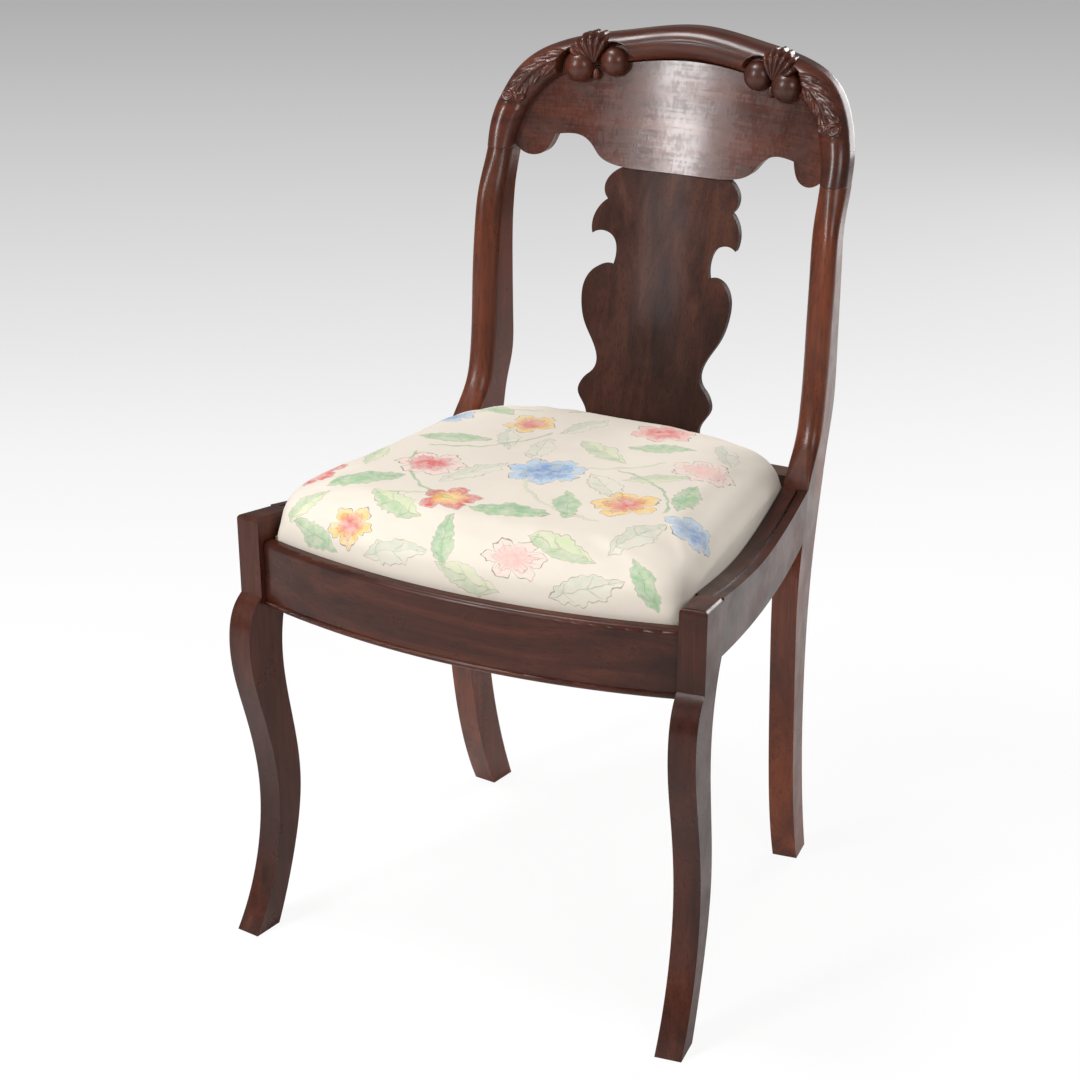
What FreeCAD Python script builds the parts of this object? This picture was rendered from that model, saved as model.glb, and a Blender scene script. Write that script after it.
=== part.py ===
import FreeCAD, Part
import math
import os

from FreeCAD import Placement, Rotation, Vector

# Balloon back side chair: sawn and moulded mahogany frame with a carved crest, a veneered back
# tablet, a shaped splat and a loose upholstered seat. Millimetres, +Z up, the sitter faces -Y.
# The origin is on the floor under the middle of the chair.

doc = FreeCAD.newDocument("balloon_back_chair")
sheet = doc.addObject("Spreadsheet::Sheet", "sizes")

SIZES = [
    # where the two side frames stand
    ("front_setback", 222.3, "front legs' front face to the origin, along Y"),
    ("side_half_floor", 232.0, "half the width over the side frames at the floor, at the front face"),
    ("splay", 7.28, "angle by which the sides close in towards the back, degrees"),
    ("cant", 0.5, "angle by which the sides open out towards the top, degrees"),
    ("side_wide", 25.0, "thickness of the legs and side rails"),
    # front leg, seen from the side
    ("post_top", 420.0, "height of the front leg's top"),
    ("post_deep", 46.0, "depth of the front leg's top block"),
    ("post_top_drop", 5.5, "fall of the front leg's top from front to back"),
    ("shoulder_high", 343.0, "height of the shoulder under the block"),
    ("knee_high", 300.0, "height of the fullest point of the knee"),
    ("knee_forward", 20.0, "how far the knee stands before the block"),
    ("ankle_high", 143.0, "height of the slimmest point of the leg"),
    ("ankle_back", 8.5, "how far the ankle lies behind the block's front"),
    ("toe_forward", 34.0, "how far the toe stands before the block"),
    ("foot_deep", 32.0, "depth of the front foot"),
    ("ankle_deep", 31.5, "depth of the front ankle"),
    ("post_round", 4.0, "rounding of the block's top edges"),
    # side rail
    ("rail_foot_front", 360.0, "height of the side rail's underside at the front leg"),
    ("rail_foot_mid", 350.0, "height of the side rail's underside at its lowest"),
    ("rail_foot_back", 363.0, "height of the side rail's underside at the rear leg"),
    ("rail_top_mid", 400.0, "height of the side rail's top at its lowest"),
    ("rail_top_back", 413.0, "height of the side rail's top at the rear leg"),
    ("groove_inset", 7.5, "outer face to the groove in the side rail's top"),
    ("groove_wide", 3.5, "width of that groove"),
    ("groove_deep", 2.5, "depth of that groove"),
    # rear leg and stile in one piece, seen from the side
    ("rear_leg_back", 307.0, "front face to the rear leg's joint, along the side"),
    ("joint_slope", 11.0, "how far the rail's joint leans back over its height"),
    ("crest_joint", 686.0, "height of the joint between stile and crest"),
    ("rear_foot_back", 42.0, "how far the rear foot's front lies behind the joint's foot"),
    ("rear_foot_deep", 31.0, "depth of the rear foot"),
    ("stile_round_outer", 9.0, "rounding of the stile's outer front edge"),
    ("stile_round_inner", 14.5, "rounding of the stile's inner front edge"),
    # front rail
    ("front_rail_bow", 31.0, "how far the front rail bows out between the legs"),
    ("front_rail_inset", 3.0, "front face of the block to the rail's face at its ends"),
    ("front_rail_low", 339.0, "height of the front rail's underside"),
    ("front_rail_top", 397.0, "height of the front rail's top"),
    ("front_rail_deep", 26.0, "thickness of the front rail"),
    ("front_lip_deep", 11.0, "thickness of the front rail above the seat ledge"),
    ("front_rail_round", 5.0, "rounding of the front rail's top edge"),
    ("bead_high", 5.0, "height of the bead under the front rail"),
    ("bead_proud", 2.5, "how far the bead stands before the rail"),
    ("bead_deep", 9.0, "depth of the bead"),
    ("tenon_thick", 10.0, "thickness of the seat rail tenons"),
    ("tenon_long", 16.0, "length of the seat rail tenons"),
    ("tenon_shoulder", 6.0, "rail above and below a tenon"),
    # rear rail
    ("rear_rail_front", 330.0, "front face of the legs to the rear rail's front"),
    ("rear_rail_deep", 38.0, "thickness of the rear rail at its top"),
    ("rear_rail_slope", 17.0, "how far the rear rail's back comes forward towards its underside"),
    ("rear_rail_low", 350.0, "height of the rear rail's underside"),
    ("rear_rail_top", 412.0, "height of the rear rail's top"),
    ("rear_ledge_deep", 14.0, "depth of the seat ledge on the rear rail"),
    # back
    ("back_front", 426.5, "front face of the legs to the tablet's middle at its height"),
    ("back_high", 672.0, "height where the tablet's middle lies that far back"),
    ("back_lean", 15.9, "lean of the tablet and crest, degrees"),
    ("back_radius", 450.0, "radius of the hollow of the back, seen from above"),
    ("tablet_thick", 11.0, "thickness of the tablet with its veneer"),
    ("veneer_thick", 1.5, "thickness of the veneer"),
    ("tablet_low", 670.5, "height of the tablet's lower edge in the middle"),
    ("crest_half", 190.0, "half the width over the crest at its joints"),
    ("crest_top", 806.5, "height of the crest in the middle"),
    ("crest_inner_half", 163.5, "half the width inside the crest at its joints"),
    ("crest_inner_top", 774.5, "height of the crest's underside in the middle"),
    ("crest_proud", 12.5, "how far the crest stands before the tablet"),
    ("crest_deep", 30.0, "depth of the crest"),
    ("crest_round", 12.5, "rounding of the crest's front edges"),
    ("crest_round_back", 5.0, "rounding of the crest's back edges"),
    ("dowel_radius", 4.5, "radius of the dowels in the crest joints"),
    ("dowel_long", 44.0, "length of those dowels"),
    ("ball_radius", 14.5, "radius of the carved balls"),
    ("ball_outer_across", 110.0, "middle of the chair to the outer ball"),
    ("ball_outer_high", 764.0, "height of the outer ball"),
    ("ball_inner_across", 77.0, "middle of the chair to the inner ball"),
    ("ball_inner_high", 771.0, "height of the inner ball"),
    ("ball_proud", 6.0, "how far the balls' middles lie before the tablet's face"),
    ("shell_across", 95.0, "middle of the chair to the root of the carved shell"),
    ("shell_root_high", 772.0, "height of that root"),
    ("shell_reach", 24.5, "length of the shell's lobes"),
    ("shell_proud", 17.0, "how far the shell stands before the tablet's face"),
    # splat
    ("splat_thick", 7.0, "thickness of the splat"),
    ("splat_foot_front", 353.0, "front face of the legs to the splat's foot"),
    ("splat_foot_high", 398.0, "height of the splat's foot in the rear rail"),
    ("splat_mid_back", 33.5, "how far the splat's middle lies behind its foot"),
    ("splat_top_back", 81.9, "how far the splat's top lies behind its foot"),
    ("splat_head_high", 690.0, "height of the splat's top inside the tablet"),
    # seat
    ("seat_ledge", 378.0, "height of the ledges that carry the seat"),
    ("seat_seat_gap", 0.3, "gap under the loose seat"),
    ("seat_side_gap", 3.0, "gap round the loose seat's frame"),
    ("seat_frame_thick", 18.8, "thickness of the seat frame"),
    ("seat_frame_wide", 45.0, "width of the seat frame's members"),
    ("seat_tongue_thick", 7.0, "thickness of the tongues that join the seat frame"),
    ("seat_tongue_wide", 22.0, "width of those tongues"),
    ("webbing_wide", 50.0, "width of the webbing"),
    ("webbing_thick", 1.2, "thickness of the webbing"),
    ("webbing_pitch", 84.0, "distance between the webbing's middles"),
    ("hessian_thick", 0.8, "thickness of the sacking over the webbing"),
    ("cover_thick", 1.2, "thickness of the printed cover"),
    ("cover_turned", 30.0, "width of the cover's edge turned under the seat"),
    ("cushion_high", 54.0, "height of the stuffing over the sacking"),
    ("tack_head", 2.6, "radius of a tack's head"),
    ("tack_head_thick", 0.8, "thickness of a tack's head"),
    ("tack_shank", 0.8, "radius of a tack's shank"),
    ("tack_long", 10.0, "length of a tack"),
    ("tack_inset", 24.0, "edge of the seat to the row of tacks"),
    ("tack_pitch", 46.0, "distance between tacks"),
    ("block_leg", 46.0, "length of a corner block along each rail"),
    ("block_high", 30.0, "height of the corner blocks"),
]

for row, (alias, value, note) in enumerate(SIZES, start=1):
    sheet.set(f"A{row}", alias)
    sheet.set(f"B{row}", str(value))
    sheet.setAlias(f"B{row}", alias)
    sheet.set(f"C{row}", note)
doc.recompute()


def size(alias):
    """The value of one cell of the sheet."""
    return float(sheet.get(alias))


# Shared construction helpers

SIDE_PLACEMENT = (
    "placement(vector(sizes.side_half_floor; -sizes.front_setback; 0); "
    "rotation(vector(0; 0; 1); 90 + sizes.splay) * rotation(vector(1; 0; 0); 90 + sizes.cant))"
)
CHAIR_PLACEMENT = "placement(vector(0; -sizes.front_setback; 0); rotation(vector(0; 0; 1); 0))"
FRONT_VIEW = Rotation(Vector(1, 0, 0), 90)
FAR = 1000.0


def bind(obj, **expressions):
    """Tie properties of an object to the sheet."""
    for name, expression in expressions.items():
        obj.setExpression(name.replace("__", "."), expression)


def draw(sketch, runs):
    """Draw a closed outline: two points make a line, three or more a smooth curve."""
    for run in runs:
        points = [Vector(x, y, 0) for x, y in run]
        if len(points) == 2:
            sketch.addGeometry(Part.LineSegment(points[0], points[1]), False)
        else:
            curve = Part.BSplineCurve()
            curve.interpolate(points)
            sketch.addGeometry(curve, False)


def plane_of(body, role):
    """One of a body's own origin planes."""
    for feature in body.Origin.OriginFeatures:
        if feature.Role == role:
            return feature
    raise ValueError(role)


def body_sketch(body, name, role, runs, offset=0.0):
    """A sketch on one of a body's origin planes, raised by an offset."""
    sketch = body.newObject("Sketcher::SketchObject", name)
    sketch.AttachmentSupport = [(plane_of(body, role), "")]
    sketch.MapMode = "FlatFace"
    sketch.AttachmentOffset = Placement(Vector(0, 0, offset), Rotation())
    draw(sketch, runs)
    return sketch


def pad(body, name, sketch, length, reverse=False):
    """Thicken a sketch by a length from the sheet."""
    feature = body.newObject("PartDesign::Pad", name)
    feature.Profile = sketch
    feature.setExpression("Length", length)
    feature.Reversed = reverse
    body.Tip = feature
    return feature


def edges_near(feature, test):
    """Names of the edges whose middle and ends pass a test."""
    names = []
    for index, edge in enumerate(feature.Shape.Edges, start=1):
        middle = edge.valueAt((edge.FirstParameter + edge.LastParameter) / 2)
        if test(middle, [v.Point for v in edge.Vertexes]):
            names.append(f"Edge{index}")
    return names


def round_edges(body, name, base, edges, radius):
    """Round some edges of a body by a radius from the sheet."""
    feature = body.newObject("PartDesign::Fillet", name)
    feature.Base = (base, edges)
    feature.setExpression("Radius", radius)
    body.Tip = feature
    return feature


def cut(name, base, *tools):
    """One solid less one or more others."""
    tool = tools[0]
    if len(tools) > 1:
        tool = doc.addObject("Part::MultiFuse", name + "_tools")
        tool.Shapes = list(tools)
    feature = doc.addObject("Part::Cut", name)
    feature.Base = base
    feature.Tool = tool
    return feature


def common(name, base, tool):
    """What two solids share."""
    feature = doc.addObject("Part::Common", name)
    feature.Base = base
    feature.Tool = tool
    return feature


def join(name, *parts):
    """Several solids as one."""
    feature = doc.addObject("Part::MultiFuse", name)
    feature.Shapes = list(parts)
    return feature


def mirror(name, source):
    """The same piece on the other side of the chair."""
    feature = doc.addObject("Part::Mirroring", name)
    feature.Source = source
    feature.Base = Vector(0, 0, 0)
    feature.Normal = Vector(1, 0, 0)
    return feature


def box(name, placement, **sides):
    """A block whose sides and corner come from the sheet."""
    feature = doc.addObject("Part::Box", name)
    bind(feature, **sides)
    feature.setExpression("Placement", placement)
    return feature


def extrusion(name, sketch, direction, length):
    """A loose sketch drawn out along any direction."""
    feature = doc.addObject("Part::Extrusion", name)
    feature.Base = sketch
    feature.DirMode = "Custom"
    feature.Dir = direction
    feature.LengthFwd = length
    feature.Solid = True
    return feature


def loose_sketch(name, runs, placement):
    """A sketch that belongs to no body."""
    sketch = doc.addObject("Sketcher::SketchObject", name)
    sketch.Placement = placement
    draw(sketch, runs)
    return sketch


PIECES = {}


def piece(node, feature):
    """Name a finished piece: its label is the name of its file."""
    feature.Label = node
    PIECES[node] = feature
    return feature


# The band of space between the floor and the crest joint, which squares the canted legs

band = box(
    "between_floor_and_crest", "placement(vector(-1000; -1000; 0); rotation(vector(0; 0; 1); 0))",
    Length="2000", Width="2000", Height="sizes.crest_joint",
)

# Front leg: block, shoulder, knee and outswept foot, drawn from the side

knee = size("knee_forward")
leg_front = [
    (0, size("shoulder_high")),
    (-0.55 * knee, size("shoulder_high") - 0.5 * knee),
    (-knee, size("knee_high")),
    ((size("ankle_back") - knee) / 2, (size("knee_high") + size("ankle_high")) / 2),
    (size("ankle_back"), size("ankle_high")),
    (-0.26 * size("toe_forward"), 0.3 * size("ankle_high")),
    (-size("toe_forward"), -1.0),
]
heel = size("foot_deep") - size("toe_forward")
leg_back = [
    (heel, -1.0),
    (heel + 24.0, 0.4 * size("ankle_high")),
    (size("ankle_back") + size("ankle_deep"), size("ankle_high")),
    (size("post_deep") - 21.5, size("knee_high") - 26.0),
    (size("post_deep"), size("rail_foot_front")),
]
post_back_top = size("post_top") - size("post_top_drop")

leg_body = doc.addObject("PartDesign::Body", "front_leg_body")
leg_sketch = body_sketch(leg_body, "front_leg_outline", "XY_Plane", [
    [(0, size("post_top")), (0, size("shoulder_high"))],
    leg_front,
    [leg_front[-1], leg_back[0]],
    leg_back,
    [leg_back[-1], (size("post_deep"), post_back_top)],
    [(size("post_deep"), post_back_top), (0, size("post_top"))],
])
leg_pad = pad(leg_body, "front_leg_pad", leg_sketch, "sizes.side_wide", reverse=True)
doc.recompute()
top_edges = edges_near(leg_pad, lambda m, ends: m.y > post_back_top - 0.1 and m.x < size("post_deep") - 1)
round_edges(leg_body, "front_leg_round", leg_pad, top_edges, "sizes.post_round")
bind(leg_body, Placement=SIDE_PLACEMENT)

# Side rail: dished top with a groove beside the outer bead, tenoned into both legs

rear = size("rear_leg_back")
post_deep = size("post_deep")
joint_top = rear + size("joint_slope")
rail_mid = post_deep + 0.43 * (rear - post_deep)
rail_top = [
    (joint_top, size("rail_top_back")),
    (rear - 50.0, size("rail_top_mid") + 4.0),
    (rail_mid, size("rail_top_mid")),
    (post_deep + 52.0, size("rail_top_mid") + 6.5),
    (post_deep, post_back_top),
]
rail_foot = [
    (post_deep, size("rail_foot_front")),
    (post_deep + 64.0, size("rail_foot_mid") + 3.0),
    (rear - 105.0, size("rail_foot_mid")),
    (rear - 42.0, size("rail_foot_mid") + 5.0),
    (rear, size("rail_foot_back")),
]
rail_body = doc.addObject("PartDesign::Body", "side_rail_body")
rail_sketch = body_sketch(rail_body, "side_rail_outline", "XY_Plane", [
    rail_foot,
    [(rear, size("rail_foot_back")), (joint_top, size("rail_top_back"))],
    rail_top,
    [(post_deep, post_back_top), (post_deep, size("rail_foot_front"))],
])
pad(rail_body, "side_rail_pad", rail_sketch, "sizes.side_wide", reverse=True)
groove_deep = size("groove_deep")
groove_top = [(x, y + 5.0) for x, y in rail_top]
groove_low = [(x, y - groove_deep) for x, y in rail_top[:-1]] + [(post_deep, post_back_top)]
groove_sketch = body_sketch(rail_body, "side_rail_groove_outline", "XY_Plane", [
    groove_low,
    [groove_low[-1], groove_top[-1]],
    groove_top[::-1],
    [groove_top[0], groove_low[0]],
], offset=-size("groove_inset"))
groove = rail_body.newObject("PartDesign::Pocket", "side_rail_groove")
groove.Profile = groove_sketch
bind(groove, Length="sizes.groove_wide")
rail_body.Tip = groove
bind(rail_body, Placement=SIDE_PLACEMENT)

# Tenons of the side rail: the legs are cut by the same blocks

middle_of_side = "(sizes.side_wide + sizes.tenon_thick) / 2"
front_side_tenon = box(
    "side_rail_front_tenon",
    "placement(vector(sizes.side_half_floor; -sizes.front_setback; 0); "
    "rotation(vector(0; 0; 1); 90 + sizes.splay) * rotation(vector(1; 0; 0); 90 + sizes.cant)) * "
    "placement(vector(sizes.post_deep - sizes.tenon_long; sizes.rail_foot_front + sizes.tenon_shoulder; "
    "-" + middle_of_side + "); rotation(vector(0; 0; 1); 0))",
    Length="2 * sizes.tenon_long",
    Width="sizes.post_top - sizes.post_top_drop - sizes.rail_foot_front - 3 * sizes.tenon_shoulder",
    Height="sizes.tenon_thick",
)
rear_side_tenon = box(
    "side_rail_rear_tenon",
    "placement(vector(sizes.side_half_floor; -sizes.front_setback; 0); "
    "rotation(vector(0; 0; 1); 90 + sizes.splay) * rotation(vector(1; 0; 0); 90 + sizes.cant)) * "
    "placement(vector(sizes.rear_leg_back - sizes.tenon_long / 2; "
    "sizes.rail_foot_back + sizes.tenon_shoulder; -" + middle_of_side + "); rotation(vector(0; 0; 1); 0))",
    Length="2 * sizes.tenon_long",
    Width="sizes.rail_top_back - sizes.rail_foot_back - 3 * sizes.tenon_shoulder",
    Height="sizes.tenon_thick",
)
piece("side_rail_right", join("side_rail_r", rail_body, front_side_tenon, rear_side_tenon))

# Hollow of the back: where the tablet's face lies, seen from above and from the side

lean = math.tan(math.radians(size("back_lean")))
radius = size("back_radius")
front_y = -size("front_setback")
crest_joint = size("crest_joint")
crest_half = size("crest_half")
inner_half = size("crest_inner_half")


def surface_y(x, z, behind=0.0):
    """How far a face of the back lies behind the front legs, at a place seen from the front."""
    middle = size("back_front") + (z - size("back_high")) * lean - radius
    return middle + math.sqrt((radius + behind) ** 2 - x ** 2)


# Rear leg and stile, one sawn piece: square below the seat, moulded above it

rail_top_back = size("rail_top_back")
leg_top_back = (rear + 67.0, rail_top_back)
leg_rear = [
    leg_top_back,
    (rear + 54.0, rail_top_back - 38.0),
    (rear + 43.0, rail_top_back - 76.0),
    (rear + 34.0, rail_top_back - 135.0),
    (rear + 33.0, 205.0),
    (rear + 44.0, 105.0),
    (rear + size("rear_foot_back") + size("rear_foot_deep"), -1.0),
]
rear_front = [
    (rear + size("rear_foot_back"), -1.0),
    (rear + 17.0, 72.0),
    (rear + 2.0, 165.0),
    (rear - 6.0, 246.0),
    (rear - 9.0, size("rail_foot_back") - 55.0),
    (rear, size("rail_foot_back")),
]
rear_body = doc.addObject("PartDesign::Body", "rear_leg_body")
rear_sketch = body_sketch(rear_body, "rear_leg_outline", "XY_Plane", [
    rear_front,
    [rear_front[-1], (joint_top, rail_top_back)],
    [(joint_top, rail_top_back), leg_top_back],
    leg_rear,
    [leg_rear[-1], rear_front[0]],
])
pad(rear_body, "rear_leg_pad", rear_sketch, "sizes.side_wide", reverse=True)

cos_splay = math.cos(math.radians(size("splay")))
sin_splay = math.sin(math.radians(size("splay")))
cant_share = math.tan(math.radians(size("cant")))


def in_side(x, y, z):
    """A place of the chair as distances along the side frame and outwards from its face."""
    across = x - size("side_half_floor") - z * cant_share
    return (y * cos_splay - across * sin_splay, across * cos_splay + y * sin_splay)


def rounded_section(sketch, corners, radii):
    """Draw a four-sided section with rounded corners."""
    starts = []
    ends = []
    for index, corner in enumerate(corners):
        here = Vector(*corner, 0)
        before = (Vector(*corners[index - 1], 0) - here).normalize()
        after = (Vector(*corners[(index + 1) % 4], 0) - here).normalize()
        half_angle = before.getAngle(after) / 2
        reach = radii[index] / math.tan(half_angle)
        middle = (before + after).normalize() * (radii[index] / math.sin(half_angle) - radii[index])
        starts.append(here + before * reach)
        ends.append(here + after * reach)
        sketch.addGeometry(Part.Arc(starts[-1], here + middle, ends[-1]), False)
    for index in range(4):
        sketch.addGeometry(Part.LineSegment(ends[index], starts[(index + 1) % 4]), False)


# Stations of the stile: share of the way up to the crest, front, back, turn of the front, how far
# the stile stands out, how far its inner back edge stands in, and share of the full rounding
wide = size("side_wide")
outer_round = size("stile_round_outer")
inner_round = size("stile_round_inner")
stations = [
    (0.0, joint_top - rear, 67.0, 0.0, 0.0, 0.0, 0.10),
    (0.04, 16.0, 71.0, 3.0, 0.2, 0.0, 0.4),
    (0.09, 24.5, 74.5, 7.0, 0.6, 0.0, 0.8),
    (0.15, 34.0, 79.5, 11.0, 1.2, 0.5, 1.0),
    (0.23, 40.0, 86.5, 15.0, 1.6, 1.5, 1.0),
    (0.36, 44.0, 88.5, 19.0, 2.0, 2.5, 1.0),
    (0.54, 46.5, 87.0, 23.0, 2.2, 4.0, 1.0),
    (0.72, 51.0, 87.5, 25.0, 2.0, 4.5, 1.0),
    (0.87, 59.0, 93.0, 25.0, 1.2, 3.5, 1.0),
]
stile_sketches = []
for index, (share, front, back, turn, out, stand_in, rounding) in enumerate(stations, start=1):
    height = rail_top_back + share * (crest_joint - rail_top_back)
    sketch = body_sketch(rear_body, f"stile_section_{index}", "XZ_Plane", [], offset=-height)
    turned = wide * math.tan(math.radians(turn))
    rounded_section(sketch, [
        (rear + front, out),
        (rear + front + turned, out - wide),
        (rear + back, out - wide - stand_in),
        (rear + back, out),
    ], [outer_round * rounding, inner_round * rounding, 1.0, 1.0])
    stile_sketches.append(sketch)
joint_corners = []
for x, behind in (
    (crest_half, -size("crest_proud")),
    (inner_half, -size("crest_proud")),
    (inner_half, size("crest_deep") - size("crest_proud")),
    (crest_half, size("crest_deep") - size("crest_proud")),
):
    joint_corners.append(in_side(x, surface_y(x, crest_joint, behind), crest_joint))
for index, extra in enumerate((0.0, 4.0), start=len(stations) + 1):
    sketch = body_sketch(rear_body, f"stile_section_{index}", "XZ_Plane", [], offset=-crest_joint - extra)
    rounded_section(sketch, [(s + lean * extra, w) for s, w in joint_corners], [
        size("crest_round"), size("crest_round"), size("crest_round_back"), size("crest_round_back"),
    ])
    stile_sketches.append(sketch)
stile = rear_body.newObject("PartDesign::AdditiveLoft", "stile")
stile.Profile = stile_sketches[0]
stile.Sections = stile_sketches[1:]
rear_body.Tip = stile
bind(rear_body, Placement=SIDE_PLACEMENT)

# Everything outside the inner faces of the side frames: what runs between them stops there

side_space = box(
    "side_space_right",
    "placement(vector(sizes.side_half_floor; -sizes.front_setback; 0); "
    "rotation(vector(0; 0; 1); 90 + sizes.splay) * rotation(vector(1; 0; 0); 90 + sizes.cant)) * "
    "placement(vector(-300; -50; -sizes.side_wide); rotation(vector(0; 0; 1); 0))",
    Length="1000", Width="1000", Height="200",
)
side_space_left = mirror("side_space_left", side_space)

# Front rail: bowed, with a lip before the seat and a tenon at each end

half_span = size("side_half_floor") + size("front_rail_top") * math.tan(math.radians(size("cant")))
half_span -= size("side_wide")
bow = size("front_rail_bow")
bow_radius = (half_span ** 2 + bow ** 2) / (2 * bow)
bow_centre = size("front_rail_inset") - bow + bow_radius


def bowed_strip(offset_front, offset_back, half_width):
    """Plan of a strip that follows the front rail's face, between two distances behind it."""
    def arc_y(offset, x):
        return bow_centre - math.sqrt((bow_radius - offset) ** 2 - x ** 2)
    front = [(x, arc_y(offset_front, x)) for x in (-half_width, 0, half_width)]
    back = [(x, arc_y(offset_back, x)) for x in (half_width, 0, -half_width)]
    return front, back


def draw_bowed(body, name, offset_front, offset_back, height, half_width=None):
    """A sketch of such a strip, its long sides true arcs."""
    front, back = bowed_strip(offset_front, offset_back, half_width or half_span + 12.0)
    sketch = body_sketch(body, name, "XY_Plane", [[front[-1], back[0]], [back[-1], front[0]]], offset=height)
    for arc in (front, back):
        points = [Vector(x, y, 0) for x, y in arc]
        sketch.addGeometry(Part.Arc(*points), False)
    return sketch


front_body = doc.addObject("PartDesign::Body", "front_rail_body")
low_sketch = draw_bowed(front_body, "front_rail_plan", 0, size("front_rail_deep"), size("front_rail_low"))
pad(front_body, "front_rail_pad", low_sketch, "sizes.seat_ledge - sizes.front_rail_low")
lip_sketch = draw_bowed(front_body, "front_lip_plan", 0, size("front_lip_deep"), size("seat_ledge"))
lip_pad = pad(front_body, "front_lip_pad", lip_sketch, "sizes.front_rail_top - sizes.seat_ledge")
doc.recompute()
rail_top_z = size("front_rail_top")
lip_front = edges_near(lip_pad, lambda m, ends: m.z > rail_top_z - 0.1 and abs(m.x) < 1
                       and m.y < size("front_rail_inset") - bow + 1)
round_edges(front_body, "front_rail_round_front", lip_pad, lip_front, "sizes.front_rail_round")
bind(front_body, Placement=CHAIR_PLACEMENT)
front_tenon = box(
    "front_rail_tenon",
    "placement(vector(sizes.side_half_floor - sizes.side_wide - 6; "
    "-sizes.front_setback + sizes.front_rail_inset + (sizes.front_rail_deep - sizes.tenon_thick) / 2; "
    "sizes.front_rail_low + sizes.tenon_shoulder); rotation(vector(0; 0; 1); 0))",
    Length="sizes.tenon_long + 8", Width="sizes.tenon_thick",
    Height="sizes.seat_ledge - sizes.front_rail_low - sizes.tenon_shoulder",
)
front_tenon_left = mirror("front_rail_tenon_left", front_tenon)
front_between = cut("front_rail_between", front_body, side_space, side_space_left)
piece("front_rail", join("front_rail_whole", front_between, front_tenon, front_tenon_left))

bead_body = doc.addObject("PartDesign::Body", "front_bead_body")
bead_sketch = draw_bowed(
    bead_body, "front_bead_plan", -size("bead_proud"), size("bead_deep") - size("bead_proud"),
    size("front_rail_low") - size("bead_high"),
)
bead_pad = pad(bead_body, "front_bead_pad", bead_sketch, "sizes.bead_high")
doc.recompute()
bead_edges = edges_near(bead_pad, lambda m, ends: abs(m.x) < 1 and m.y < size("front_rail_inset") - bow
                        and ends[0].z == ends[-1].z)
round_edges(bead_body, "front_bead_round", bead_pad, bead_edges, "0.4 * sizes.bead_high")
bind(bead_body, Placement=CHAIR_PLACEMENT)
piece("front_rail_bead", cut("front_bead", bead_body, side_space, side_space_left))

piece("front_leg_right", cut("front_leg_r", common("front_leg_squared", leg_body, band),
                             front_side_tenon, front_tenon))

# Rear rail: carries the back of the seat on a ledge and the splat in its top

rear_rail_body = doc.addObject("PartDesign::Body", "rear_rail_body")
rail_front = size("rear_rail_front")
ledge_back = rail_front + size("rear_ledge_deep")
rail_back = rail_front + size("rear_rail_deep")
rail_low_back = rail_back - size("rear_rail_slope")
rail_section = [
    (rail_front, size("rear_rail_low")),
    (rail_front, size("seat_ledge")),
    (ledge_back, size("seat_ledge")),
    (ledge_back, size("rear_rail_top")),
    (rail_back, size("rear_rail_top")),
    (rail_low_back, size("rear_rail_low")),
]
rear_rail_sketch = body_sketch(rear_rail_body, "rear_rail_section", "YZ_Plane", [
    [rail_section[i], rail_section[(i + 1) % len(rail_section)]] for i in range(len(rail_section))
])
rear_rail_pad = pad(rear_rail_body, "rear_rail_pad", rear_rail_sketch, "2 * sizes.side_half_floor")
rear_rail_pad.Midplane = True
bind(rear_rail_body, Placement=CHAIR_PLACEMENT)
rear_tenon = box(
    "rear_rail_tenon",
    "placement(vector(0; -sizes.front_setback + sizes.rear_rail_front + sizes.tenon_shoulder; "
    "sizes.rear_rail_low + sizes.tenon_shoulder); rotation(vector(0; 0; 1); 0))",
    Length="sizes.side_half_floor - sizes.side_wide + sizes.tenon_long - "
           "(sizes.rear_rail_front + sizes.rear_rail_deep / 2) * tan(sizes.splay)",
    Width="sizes.tenon_thick",
    Height="sizes.seat_ledge - sizes.rear_rail_low - sizes.tenon_shoulder",
)
rear_tenon_left = mirror("rear_rail_tenon_left", rear_tenon)

# Back: everything is cut from slabs that are hollow in plan and lean back

base_high = size("seat_ledge")
back_at_base = size("back_front") - (size("back_high") - base_high) * lean
slab_direction = Vector(0, lean, 1)


def slab(name, proud, thick, half_width=240.0):
    """A leaning slab whose front lies a little before the tablet's face."""
    def arc_points(offset):
        reach = radius + offset
        middle = back_at_base - radius
        return [(x, middle + math.sqrt(reach ** 2 - x ** 2)) for x in (-half_width, 0, half_width)]
    front = arc_points(-proud)
    back = arc_points(thick - proud)
    sketch = loose_sketch(name + "_plan", [[front[0], back[0]], [front[-1], back[-1]]],
                          Placement(Vector(0, front_y, base_high), Rotation()))
    for arc in (front, back):
        sketch.addGeometry(Part.Arc(*[Vector(x, y, 0) for x, y in arc]), False)
    return extrusion(name, sketch, slab_direction, 500.0 * math.hypot(lean, 1))


def both_sides(half):
    """A curve through points on the right, and the same points on the left."""
    return half + [(-x, z) for x, z in reversed(half[:-1])]


def outline_block(name, runs):
    """An outline drawn from the front and carried through the chair's depth."""
    sketch = loose_sketch(name + "_outline", runs, Placement(Vector(0, 0, 0), FRONT_VIEW))
    sketch.Placement.Base = Vector(0, front_y, 0)
    return extrusion(name, sketch, Vector(0, 1, 0), FAR)


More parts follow.
